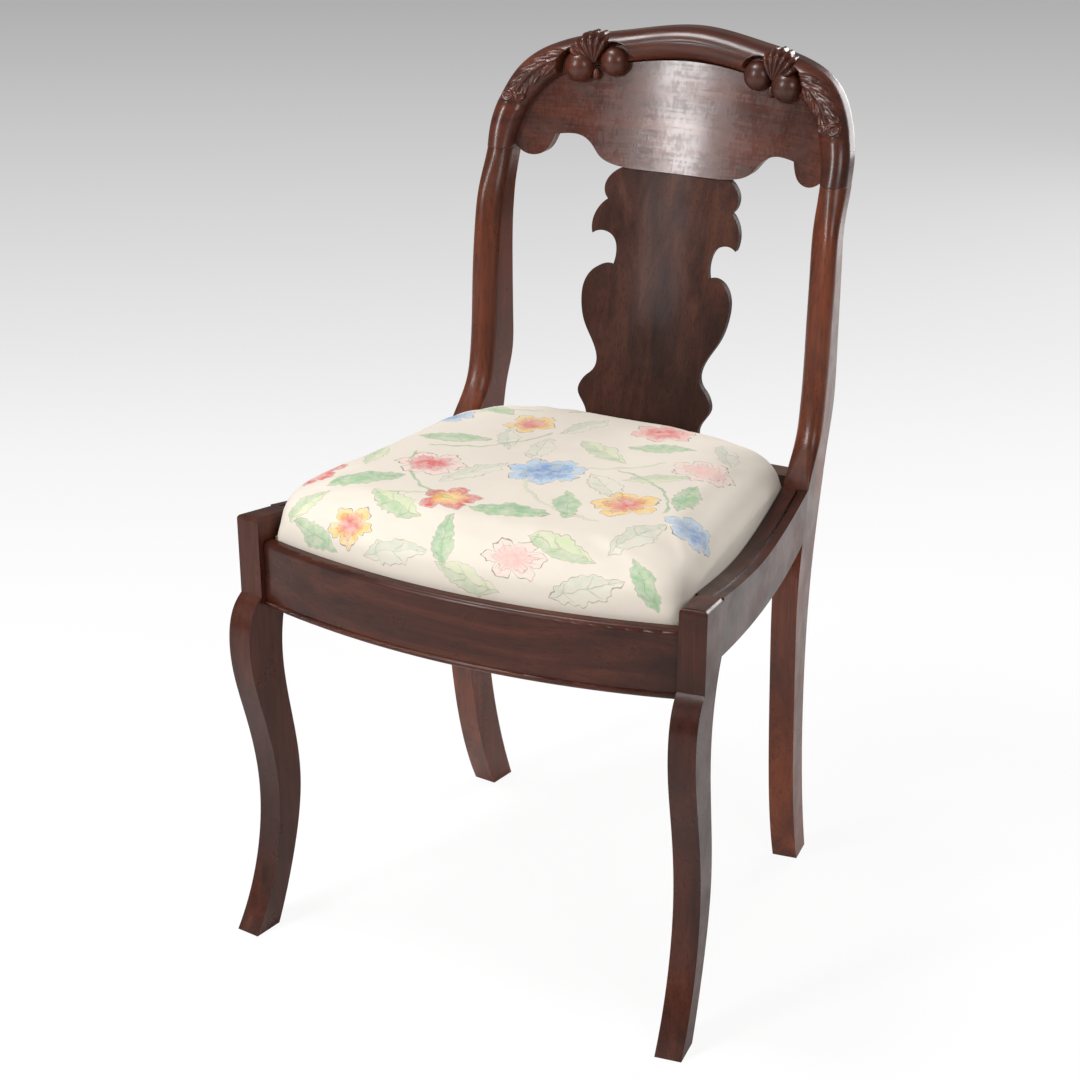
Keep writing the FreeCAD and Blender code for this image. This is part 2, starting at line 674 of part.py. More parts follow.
crest_top = size("crest_top")
inner_top = size("crest_inner_top")
crest_outer_curve = both_sides([
    (crest_half, crest_joint),
    (crest_half - 1.0, crest_joint + 26.0),
    (crest_half - 8.0, crest_joint + 52.0),
    (crest_half - 20.0, crest_joint + 75.0),
    (crest_half - 38.0, crest_joint + 91.0),
    (crest_half - 64.0, crest_joint + 101.5),
    (70.0, crest_top - 8.5),
    (0, crest_top),
])
crest_inner_curve = both_sides([
    (inner_half, crest_joint),
    (inner_half - 2.0, crest_joint + 16.0),
    (inner_half - 8.0, crest_joint + 35.0),
    (inner_half - 18.0, crest_joint + 53.0),
    (inner_half - 34.0, crest_joint + 67.0),
    (inner_half - 62.0, crest_joint + 76.5),
    (52.0, inner_top - 4.0),
    (0, inner_top),
])
crest_block = outline_block("crest_front_view", [
    crest_outer_curve,
    [crest_outer_curve[-1], crest_inner_curve[-1]],
    crest_inner_curve,
    [crest_inner_curve[0], crest_outer_curve[0]],
])
crest_slab = slab("crest_slab", size("crest_proud"), size("crest_deep"))
crest_rough = common("crest_rough", crest_block, crest_slab)
doc.recompute()


def crest_edges(front):
    """The two long front edges, or the two long back edges."""
    found = []
    proud = size("crest_proud")
    for index, edge in enumerate(crest_rough.Shape.Edges, start=1):
        if edge.Length < 200:
            continue
        middle = edge.valueAt((edge.FirstParameter + edge.LastParameter) / 2)
        gap = middle.y - front_y - surface_y(middle.x, middle.z)
        if (gap < 0) == front:
            found.append(index)
    return found


crest_round = doc.addObject("Part::Fillet", "crest_round")
crest_round.Base = crest_rough
crest_round.Edges = (
    [(i, size("crest_round"), size("crest_round")) for i in crest_edges(True)]
    + [(i, size("crest_round_back"), size("crest_round_back")) for i in crest_edges(False)]
)


def ball(name, across, high):
    """A carved ball on the crest's lower edge."""
    feature = doc.addObject("Part::Sphere", name)
    bind(feature, Radius="sizes.ball_radius")
    x = size(across)
    z = size(high)
    feature.Placement = Placement(Vector(x, front_y + surface_y(x, z) - size("ball_proud"), z), Rotation())
    return feature


def shell_outline(lobes=6):
    """A scalloped fan that opens upwards and outwards from its root."""
    root = (size("shell_across"), size("shell_root_high"))
    first = math.radians(18.0)
    step = math.radians(150.0) / lobes
    reach = size("shell_reach")
    runs = []
    corners = []
    for index in range(lobes + 1):
        angle = first + index * step
        corners.append((root[0] + reach * math.cos(angle), root[1] + reach * math.sin(angle)))
    for index in range(lobes):
        angle = first + (index + 0.5) * step
        tip = (root[0] + 1.1 * reach * math.cos(angle), root[1] + 1.1 * reach * math.sin(angle))
        runs.append([corners[index], tip, corners[index + 1]])
    base = (root[0], root[1] - 8.0)
    runs.append([corners[-1], base])
    runs.append([base, corners[0]])
    return runs


shell_slab = slab("shell_slab", size("shell_proud"), size("shell_proud") + 6.0)
shell = common("carved_shell", outline_block("shell_front_view", shell_outline()), shell_slab)
ball_outer = ball("ball_outer", "ball_outer_across", "ball_outer_high")
ball_inner = ball("ball_inner", "ball_inner_across", "ball_inner_high")
arch_end = crest_inner_curve[0]
arch_low = size("tablet_low") - 20.0
arch_block = outline_block("crest_opening_view", [
    crest_inner_curve,
    [(-arch_end[0], arch_end[1]), (-arch_end[0], arch_low)],
    [(-arch_end[0], arch_low), (arch_end[0], arch_low)],
    [(arch_end[0], arch_low), arch_end],
])
tablet_space = common("tablet_space", arch_block, slab("tablet_slab", 0.0, 40.0))
carving = cut("carving_right", join("carving_whole", ball_outer, ball_inner, shell), tablet_space)
carving_left = mirror("carving_left", carving)

# Dowels between the stiles and the crest

dowel = doc.addObject("Part::Cylinder", "crest_dowel")
bind(dowel, Radius="sizes.dowel_radius", Height="sizes.dowel_long")
dowel_across = (crest_half + inner_half) / 2
dowel_back = surface_y(dowel_across, crest_joint) - size("crest_proud") + size("crest_deep") / 2
dowel.Placement = Placement(
    Vector(dowel_across, front_y + dowel_back, crest_joint - size("dowel_long") / 2), Rotation())
dowel_left = mirror("crest_dowel_left", dowel)
dowels = doc.addObject("Part::Compound", "crest_dowel_pair")
dowels.Links = [dowel, dowel_left]
piece("crest_dowels", dowels)

# Tablet: a core with a lobed lower edge, faced with veneer

tablet_low = size("tablet_low")
tablet_side = inner_half - 3.0
tablet_edge_half = [
    (tablet_side + 6.0, crest_joint + 8.0),
    (tablet_side - 3.0, crest_joint - 3.5),
    (tablet_side - 14.0, tablet_low + 8.0),
    (tablet_side - 26.0, tablet_low + 12.0),
    (tablet_side - 31.0, tablet_low + 20.0),
    (tablet_side - 33.5, tablet_low + 28.0),
]
tablet_ogee_half = [
    (tablet_side - 33.5, tablet_low + 28.0),
    (tablet_side - 46.0, tablet_low + 29.5),
    (tablet_side - 59.0, tablet_low + 28.0),
    (tablet_side - 71.0, tablet_low + 19.5),
    (82.0, tablet_low + 10.5),
    (62.0, tablet_low + 2.0),
    (38.0, tablet_low),
]
tablet_low_line = [(38.0, tablet_low), (-38.0, tablet_low)]


def flipped(run):
    """The same run on the other side of the middle, in the other direction."""
    return [(-x, z) for x, z in reversed(run)]


tablet_start = tablet_edge_half[0]
tablet_lobes = outline_block("tablet_lobes_view", [
    tablet_edge_half,
    tablet_ogee_half,
    tablet_low_line,
    flipped(tablet_ogee_half),
    flipped(tablet_edge_half),
    [(-tablet_start[0], tablet_start[1]), (-tablet_start[0], crest_top)],
    [(-tablet_start[0], crest_top), (tablet_start[0], crest_top)],
    [(tablet_start[0], crest_top), tablet_start],
])
tablet_block = common("tablet_block", tablet_lobes, arch_block)
veneer_slab = slab("veneer_slab", 0.0, size("veneer_thick"))
core_slab = slab("core_slab", -size("veneer_thick"), size("tablet_thick") - size("veneer_thick"))
veneer = common("tablet_veneer_sheet", tablet_block, veneer_slab)
core = common("tablet_core_board", tablet_block, core_slab)

# Splat: a hollow sheet bent back as it rises, sawn to a vase outline

splat_body = doc.addObject("PartDesign::Body", "splat_sheet_body")
foot_high = size("splat_foot_high")
foot_front = size("splat_foot_front")
head_high = size("splat_head_high")
mid_high = (foot_high + head_high) / 2
splat_path = splat_body.newObject("Sketcher::SketchObject", "splat_path")
splat_path.AttachmentSupport = [(plane_of(splat_body, "YZ_Plane"), "")]
splat_path.MapMode = "FlatFace"
splat_path.addGeometry(Part.Arc(
    Vector(foot_front, foot_high, 0),
    Vector(foot_front + size("splat_mid_back"), mid_high, 0),
    Vector(foot_front + size("splat_top_back"), head_high, 0),
), False)
splat_plan = body_sketch(splat_body, "splat_plan", "XY_Plane", [], offset=foot_high)
splat_half = 100.0
thick = size("splat_thick")
for reach in (radius, radius + thick):
    splat_plan.addGeometry(Part.Arc(*[
        Vector(x, foot_front - radius + math.sqrt(reach ** 2 - x ** 2), 0)
        for x in (-splat_half, 0, splat_half)
    ]), False)
for x in (-splat_half, splat_half):
    splat_plan.addGeometry(Part.LineSegment(
        Vector(x, foot_front - radius + math.sqrt(radius ** 2 - x ** 2), 0),
        Vector(x, foot_front - radius + math.sqrt((radius + thick) ** 2 - x ** 2), 0),
    ), False)
splat_pipe = splat_body.newObject("PartDesign::AdditivePipe", "splat_sheet")
splat_pipe.Profile = splat_plan
splat_pipe.Spine = (splat_path, ["Edge1"])
splat_pipe.Mode = "Fixed"
splat_body.Tip = splat_pipe
bind(splat_body, Placement=CHAIR_PLACEMENT)

head_run = [(56.0, head_high), (56.0, tablet_low + 1.0)]
lobe_run = [(56.0, tablet_low + 1.0), (67.0, 664.0), (71.5, 655.0), (70.5, 647.0), (66.5, 641.5)]
wing_run = [(66.5, 641.5), (74.5, 633.0), (78.5, 622.0), (77.0, 608.5)]
notch_run = [(77.0, 608.5), (65.0, 611.5), (54.5, 606.0), (50.0, 594.0), (52.0, 579.0)]
vase_run = [
    (52.0, 579.0), (63.0, 579.5), (72.5, 573.5), (78.5, 562.0), (79.0, 546.0), (73.0, 524.0),
    (60.0, 502.0), (56.0, 488.0), (62.5, 475.5),
]
foot_run = [(62.5, 475.5), (69.5, 467.5), (72.0, 458.5), (66.0, 447.0), (62.0, 430.0)]
tail_run = [(62.0, 430.0), (62.0, foot_high)]
half_runs = [head_run, lobe_run, wing_run, notch_run, vase_run, foot_run, tail_run]
splat_runs = [[(-56.0, head_high), (56.0, head_high)]] + half_runs
splat_runs += [[(62.0, foot_high), (-62.0, foot_high)]] + [flipped(run) for run in half_runs]
splat_block = outline_block("splat_front_view", splat_runs)
splat = piece("splat", common("splat_sawn", splat_body, splat_block))

piece("tablet_veneer", veneer)
piece("tablet_core", cut("tablet_core_mortised", core, splat))
rear_rail_between = cut("rear_rail_between", rear_rail_body, side_space, side_space_left, splat)
piece("rear_rail", join("rear_rail_whole", rear_rail_between, rear_tenon, rear_tenon_left))
piece("rear_leg_right", cut("rear_leg_r", common("rear_leg_squared", rear_body, band),
                            rear_side_tenon, rear_tenon, dowel))
crest_carved = join("crest_carved", crest_round, carving, carving_left)
piece("crest_rail", cut("crest_rail_whole", crest_carved, dowel, dowel_left))

for name in ("front_leg", "side_rail", "rear_leg"):
    piece(name + "_left", mirror(name + "_l", PIECES[name + "_right"]))

# Corner blocks glued into the frame under the seat

block_leg = size("block_leg")


def corner_block(node, corner, along_x, along_y, *walls):
    """A triangular block fitted to the rails that meet in a corner."""
    body = doc.addObject("PartDesign::Body", node + "_body")
    x, y = corner
    first = (x + along_x, y)
    second = (x, y + along_y)
    pad(body, node + "_pad", body_sketch(
        body, node + "_plan", "XY_Plane",
        [[corner, first], [first, second], [second, corner]],
        offset=size("seat_ledge") - size("block_high"),
    ), "sizes.block_high")
    bind(body, Placement=CHAIR_PLACEMENT)
    return piece(node, cut(node + "_fitted", body, *walls))


wall_front = half_span
block_y = bow_centre - math.sqrt((bow_radius - size("front_rail_deep")) ** 2 - half_span ** 2) - 6.0
corner_block("corner_block_front_right", (wall_front + 4.0, block_y), -block_leg - 8.0, block_leg + 8.0,
             front_between, side_space)
rear_wall = half_span - math.tan(math.radians(size("splay"))) * rail_front
corner_block("corner_block_rear_right", (rear_wall + 8.0, rail_front), -block_leg - 8.0, -block_leg,
             side_space)
for place in ("front", "rear"):
    right_block = PIECES[f"corner_block_{place}_right"]
    piece(f"corner_block_{place}_left", mirror(f"corner_block_{place}_l", right_block))

# Loose seat: a tongued frame, webbing, sacking and the stuffed cushion

cover_low = size("seat_ledge") + size("seat_seat_gap")
seat_low = cover_low + size("cover_thick")
seat_frame_top = seat_low + size("seat_frame_thick")
splay = math.radians(size("splay"))
seat_level = size("side_half_floor") + seat_low * math.tan(math.radians(size("cant")))
seat_side = seat_level - (size("side_wide") + size("seat_side_gap")) / math.cos(splay)
seat_back = ledge_back - size("seat_side_gap")
member = size("seat_frame_wide")
seat_front_offset = size("front_lip_deep") + size("seat_side_gap")


def side_line(y, inset=0.0):
    """Half width of the seat at a depth, less an inset."""
    return seat_side - inset / math.cos(splay) - y * math.tan(splay)


def front_arc(x, inset=0.0):
    """Depth of the seat's bowed front edge at a place across the chair."""
    reach = bow_radius - seat_front_offset - inset
    return bow_centre - math.sqrt(reach ** 2 - x ** 2)


def meet(inset_front, inset_side):
    """Where the front edge meets the side edge."""
    y = 0.0
    for _ in range(20):
        x = side_line(y, inset_side)
        y = front_arc(x, inset_front)
    return x, y


def seat_plan(sketch, inset, corner=0.0):
    """The seat's plan, drawn in by an inset all round, its corners cut off by a length."""
    front_x, front_y_end = meet(inset, inset)
    back_y = seat_back - inset
    back_x = side_line(back_y, inset)
    start_x = front_x - corner
    start = (start_x, front_arc(start_x, inset))
    side_low = (side_line(front_y_end + corner, inset), front_y_end + corner)
    side_high = (side_line(back_y - corner, inset), back_y - corner)
    end = (back_x - corner, back_y)
    sketch.addGeometry(Part.Arc(Vector(-start[0], start[1], 0), Vector(0, front_arc(0, inset), 0),
                                Vector(start[0], start[1], 0)), False)
    right = [start, side_low, side_high, end] if corner else [side_low, side_high]
    points = right + [(-x, y) for x, y in reversed(right)]
    for first, second in zip(points, points[1:]):
        sketch.addGeometry(Part.LineSegment(Vector(*first, 0), Vector(*second, 0)), False)


def seat_body(name, inset, height, thickness):
    """A plate of the seat's plan."""
    body = doc.addObject("PartDesign::Body", name)
    sketch = body_sketch(body, name + "_plan", "XY_Plane", [], offset=height)
    seat_plan(sketch, inset)
    pad(body, name + "_pad", sketch, thickness)
    bind(body, Placement=CHAIR_PLACEMENT)
    return body


seat_board = seat_body("seat_frame_board", 0.0, seat_low, "sizes.seat_frame_thick")


def seat_member(node, corners):
    """One member of the seat frame, cut from the board by a four-sided plan."""
    body = doc.addObject("PartDesign::Body", node + "_body")
    runs = [[corners[i], corners[(i + 1) % len(corners)]] for i in range(len(corners))]
    pad(body, node + "_pad", body_sketch(body, node + "_plan", "XY_Plane", runs, offset=seat_low),
        "sizes.seat_frame_thick")
    bind(body, Placement=CHAIR_PLACEMENT)
    return common(node + "_sawn", seat_board, body)


front_member_back = front_arc(0.0) + member + 14.0
back_member_front = seat_back - member
seat_front_part = seat_member("seat_front", [
    (-FAR / 4, -FAR / 10), (FAR / 4, -FAR / 10), (FAR / 4, front_member_back), (-FAR / 4, front_member_back)])
seat_back_part = seat_member("seat_back", [
    (-FAR / 4, back_member_front), (FAR / 4, back_member_front), (FAR / 4, FAR / 2), (-FAR / 4, FAR / 2)])
seat_side_part = seat_member("seat_side", [
    (side_line(front_member_back, member), front_member_back), (FAR / 4, front_member_back),
    (FAR / 4, back_member_front), (side_line(back_member_front, member), back_member_front)])
tongue_body = doc.addObject("PartDesign::Body", "seat_tongue_body")
tongue_in = member / 2 + size("seat_tongue_wide") / 2
tongue_out = member / 2 - size("seat_tongue_wide") / 2
tongue_front = front_member_back - 30.0
tongue_back = back_member_front + 30.0
tongue_corners = [
    (side_line(tongue_front, tongue_in), tongue_front),
    (side_line(tongue_front, tongue_out), tongue_front),
    (side_line(tongue_back, tongue_out), tongue_back),
    (side_line(tongue_back, tongue_in), tongue_back),
]
tongue_sketch = body_sketch(tongue_body, "seat_tongue_plan", "XY_Plane", [
    [tongue_corners[i], tongue_corners[(i + 1) % 4]] for i in range(4)
], offset=seat_low + (size("seat_frame_thick") - size("seat_tongue_thick")) / 2)
pad(tongue_body, "seat_tongue_pad", tongue_sketch, "sizes.seat_tongue_thick")
bind(tongue_body, Placement=CHAIR_PLACEMENT)
tongue_left = mirror("seat_tongue_left", tongue_body)

# Tacks that hold the cover's edge under the frame, kept clear of the ledges and corner blocks

def tack(name, x, y):
    """A tack driven upwards into the frame."""
    head = doc.addObject("Part::Cylinder", name + "_head")
    bind(head, Radius="sizes.tack_head", Height="sizes.tack_head_thick")
    shank = doc.addObject("Part::Cylinder", name + "_shank")
    bind(shank, Radius="sizes.tack_shank", Height="sizes.tack_long")
    head.Placement = Placement(Vector(x, y + front_y, cover_low - size("tack_head_thick")), Rotation())
    shank.Placement = Placement(Vector(x, y + front_y, cover_low - size("tack_head_thick")), Rotation())
    return join(name, head, shank)


tack_inset = size("tack_inset")
tack_pitch = size("tack_pitch")
tack_places = []
for index in (-2.5, -1.5, -0.5, 0.5, 1.5, 2.5):
    tack_places.append((index * tack_pitch, front_arc(index * tack_pitch, tack_inset)))
for index in (-1.5, -0.5, 0.5, 1.5):
    tack_places.append((index * tack_pitch, seat_back - tack_inset))
side_middle = (meet(0, 0)[1] + seat_back) / 2
for side in (-1, 1):
    for index in (-2, -1, 0, 1, 2):
        y = side_middle + index * tack_pitch
        tack_places.append((side * side_line(y, tack_inset), y))
tacks = [tack(f"tack_{index}", x, y) for index, (x, y) in enumerate(tack_places, start=1)]
tack_group = doc.addObject("Part::Compound", "tack_group")
tack_group.Links = tacks
piece("seat_tacks", tack_group)

piece("seat_frame_front", cut("seat_front_slotted", seat_front_part, tongue_body, tongue_left, *tacks[:6]))
piece("seat_frame_back", cut("seat_back_slotted", seat_back_part, tongue_body, tongue_left, *tacks[6:10]))
seat_side_whole = join("seat_side_tongued", seat_side_part, tongue_body)
piece("seat_frame_right", cut("seat_side_tacked", seat_side_whole, *tacks[15:20]))
piece("seat_frame_left", mirror("seat_side_tacked_l", PIECES["seat_frame_right"]))

web = size("webbing_wide")
web_thick = size("webbing_thick")
web_pitch = size("webbing_pitch")
web_front = front_arc(web_pitch + web / 2) + 6.0
web_back = seat_back - 6.0
strips = []
for index in (-1, 0, 1):
    strip = box(
        f"webbing_lengthwise_{index + 2}",
        f"placement(vector({index} * sizes.webbing_pitch - sizes.webbing_wide / 2; "
        f"-sizes.front_setback + {web_front}; {seat_frame_top}); rotation(vector(0; 0; 1); 0))",
        Length="sizes.webbing_wide", Width=str(web_back - web_front), Height="sizes.webbing_thick",
    )
    strips.append(strip)
web_middle = (web_front + web_back) / 2
for index in (-1, 0, 1):
    y = web_middle + index * web_pitch
    half = side_line(y + web / 2, 6.0)
    strip = box(
        f"webbing_crosswise_{index + 2}",
        f"placement(vector({-half}; -sizes.front_setback + {y - web / 2}; {seat_frame_top + web_thick}); "
        f"rotation(vector(0; 0; 1); 0))",
        Length=str(2 * half), Width="sizes.webbing_wide", Height="sizes.webbing_thick",
    )
    strips.append(strip)
webbing = doc.addObject("Part::Compound", "webbing_strips")
webbing.Links = strips
piece("seat_webbing", webbing)

hessian_low = seat_frame_top + 2 * web_thick
piece("seat_hessian", seat_body("seat_sacking", 5.0, hessian_low, "sizes.hessian_thick"))

cushion_low = hessian_low + size("hessian_thick")
cushion_high = size("cushion_high")
cover_thick = size("cover_thick")
# levels of the cushion: share of its height, inset from the seat's edge, cut of the corners
cushion_levels = [
    (0.48, -1.0, 9.0), (0.74, 2.0, 17.0), (0.88, 9.0, 27.0), (0.96, 28.0, 40.0), (1.0, 85.0, 45.0),
]


def crowned(name, low, swell):
    """A pillow over the seat's plan, swollen by a little on every side."""
    body = doc.addObject("PartDesign::Body", name + "_body")
    sketches = []
    for index, (rise, inset, corner) in enumerate([(None, 0.0, 2.0)] + cushion_levels):
        height = low if rise is None else cushion_low + rise * cushion_high + swell * rise
        sketch = body_sketch(body, f"{name}_level_{index}", "XY_Plane", [], offset=height)
        seat_plan(sketch, inset - swell, corner)
        sketches.append(sketch)
    loft = body.newObject("PartDesign::AdditiveLoft", name + "_crown")
    loft.Profile = sketches[0]
    loft.Sections = sketches[1:]
    loft.Ruled = True
    body.Tip = loft
    bind(body, Placement=CHAIR_PLACEMENT)
    return body


stuffing = piece("seat_stuffing", crowned("stuffing", cushion_low, 0.0))
cover_outer = crowned("cover", cover_low, cover_thick)
opening = seat_body("cover_opening", size("cover_turned"), cover_low - 1.0, "sizes.cover_thick + 1")
inner_block = seat_body("cover_inside", 0.0, seat_low, str(cushion_low - seat_low))
piece("seat_cover", cut("cover_whole", cover_outer, opening, inner_block, stuffing, *tacks))

# Check every object, then write one file for each piece

doc.recompute()
for obj in doc.Objects:
    if any(word in obj.State for word in ("Invalid", "Error")):
        raise RuntimeError(f"{obj.Name} failed: {obj.State}")
os.makedirs("parts", exist_ok=True)
for node, feature in PIECES.items():
    shape = feature.Shape
    if shape.isNull() or not shape.isValid():
        raise RuntimeError(f"{node} has no valid shape")
    shape.exportStep(os.path.join("parts", node + ".step"))
    bounds = shape.BoundBox
    print(f"{node}: {len(shape.Solids)} solids, {shape.Volume / 1000:.1f} cm3, "
          f"x {bounds.XMin:.1f} {bounds.XMax:.1f} y {bounds.YMin:.1f} {bounds.YMax:.1f} "
          f"z {bounds.ZMin:.1f} {bounds.ZMax:.1f}")
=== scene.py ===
import math

import bmesh
import bpy
import numpy as np
from mathutils import Matrix, Vector


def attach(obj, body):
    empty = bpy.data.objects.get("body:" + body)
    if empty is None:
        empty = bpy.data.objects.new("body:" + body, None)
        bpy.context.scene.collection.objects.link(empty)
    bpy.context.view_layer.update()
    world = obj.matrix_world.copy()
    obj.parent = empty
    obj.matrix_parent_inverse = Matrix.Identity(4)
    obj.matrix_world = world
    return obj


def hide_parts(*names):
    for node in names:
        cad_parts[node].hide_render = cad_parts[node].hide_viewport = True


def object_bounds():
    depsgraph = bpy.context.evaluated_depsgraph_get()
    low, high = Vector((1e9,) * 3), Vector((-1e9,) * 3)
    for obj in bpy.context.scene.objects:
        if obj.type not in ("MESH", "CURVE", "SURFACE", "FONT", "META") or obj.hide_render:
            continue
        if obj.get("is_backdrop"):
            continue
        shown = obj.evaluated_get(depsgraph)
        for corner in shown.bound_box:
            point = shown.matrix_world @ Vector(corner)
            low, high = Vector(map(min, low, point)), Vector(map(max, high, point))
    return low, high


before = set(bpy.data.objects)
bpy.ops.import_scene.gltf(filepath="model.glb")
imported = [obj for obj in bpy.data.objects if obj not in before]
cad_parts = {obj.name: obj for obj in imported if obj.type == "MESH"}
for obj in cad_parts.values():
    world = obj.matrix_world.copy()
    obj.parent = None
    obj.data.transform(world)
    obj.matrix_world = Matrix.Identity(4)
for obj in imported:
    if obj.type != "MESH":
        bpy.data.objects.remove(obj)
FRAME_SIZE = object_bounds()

bl_info = {
    "name": "Balloon Back Chair",
    "version": (1, 0, 0),
    "blender": (4, 5, 0),
    "location": "View3D > Sidebar > Chair",
    "description": "Looks of a carved mahogany balloon back chair with a printed cotton seat",
    "category": "Add Mesh",
}


# Sizes and colours that a user would change


def colour_property(name, description, default):
    return bpy.props.FloatVectorProperty(
        name=name, description=description, default=default, subtype="COLOR", size=3, min=0.0, max=1.0,
    )


class ChairWood(bpy.types.PropertyGroup):
    dark: colour_property("Dark grain", "Colour of the mahogany's dark streaks", (0.022, 0.0070, 0.0045))
    mid: colour_property("Main colour", "Colour of the mahogany between its streaks", (0.060, 0.0160, 0.0092))
    light: colour_property("Light grain", "Colour of the mahogany's light streaks", (0.110, 0.0310, 0.0150))
    polish: bpy.props.FloatProperty(
        name="Polish", description="Roughness of the old polish", default=0.27, min=0.05, max=0.9,
        subtype="FACTOR",
    )


class ChairCrest(bpy.types.PropertyGroup):
    ball_outer: bpy.props.FloatProperty(
        name="Outer ball", description="Radius of the outer carved balls", default=0.0152, min=0.008,
        max=0.018, unit="LENGTH",
    )
    ball_inner: bpy.props.FloatProperty(
        name="Inner ball", description="Radius of the inner carved balls", default=0.0142, min=0.008,
        max=0.018, unit="LENGTH",
    )
    shell_lobes: bpy.props.IntProperty(
        name="Shell lobes", description="Flutes of each carved shell", default=6, min=3, max=10,
    )
    leaf_depth: bpy.props.FloatProperty(
        name="Leaf relief", description="Share of the carved leaf's full height", default=1.0, min=0.0,
        max=1.3, subtype="FACTOR",
    )


class ChairSeat(bpy.types.PropertyGroup):
    ground: colour_property("Ground", "Colour of the printed cotton's ground", (0.76, 0.69, 0.60))
    pressure: bpy.props.FloatProperty(
        name="Stuffing pressure", description="Pressure that swells the cover", default=4.0, min=0.0,
        max=10.0,
    )
    swell: bpy.props.FloatProperty(
        name="Largest swell", description="How far the cover may swell", default=0.0035, min=0.0,
        max=0.006, unit="LENGTH",
    )


class ChairStage(bpy.types.PropertyGroup):
    lens: bpy.props.FloatProperty(
        name="Lens", description="Focal length of the photo's view, in millimetres", default=79.3, min=20.0,
        max=200.0,
    )
    camera_place: bpy.props.FloatVectorProperty(
        name="Camera", description="Where the camera stands", default=(0.96409, -1.86389, 1.22125), size=3,
        subtype="TRANSLATION", unit="LENGTH",
    )
    room_light: bpy.props.FloatProperty(
        name="Room light", description="Strength of the even light all round", default=0.22, min=0.0, max=2.0,
    )
    lamp_light: bpy.props.FloatProperty(
        name="Lamps", description="Share of the lamps' full power", default=1.0, min=0.0, max=3.0,
    )


# Node graph helpers


class Wire:
    """A shader socket that can be used in sums."""

    def __init__(self, graph, socket):
        self.graph = graph
        self.socket = socket

    def _math(self, operation, *others):
        return self.graph.math(operation, self, *others)

    def __add__(self, other):
        return self._math("ADD", other)

    def __radd__(self, other):
        return self._math("ADD", other)

    def __sub__(self, other):
        return self._math("SUBTRACT", other)

    def __rsub__(self, other):
        return self.graph.math("SUBTRACT", other, self)

    def __mul__(self, other):
        return self._math("MULTIPLY", other)

    def __rmul__(self, other):
        return self._math("MULTIPLY", other)

    def __truediv__(self, other):
        return self._math("DIVIDE", other)

    def __rtruediv__(self, other):
        return self.graph.math("DIVIDE", other, self)

    def __pow__(self, other):
        return self._math("POWER", other)

    def abs(self):
        return self._math("ABSOLUTE")

    def cos(self):
        return self._math("COSINE")

    def sin(self):
        return self._math("SINE")

    def most(self, other):
        return self._math("MAXIMUM", other)


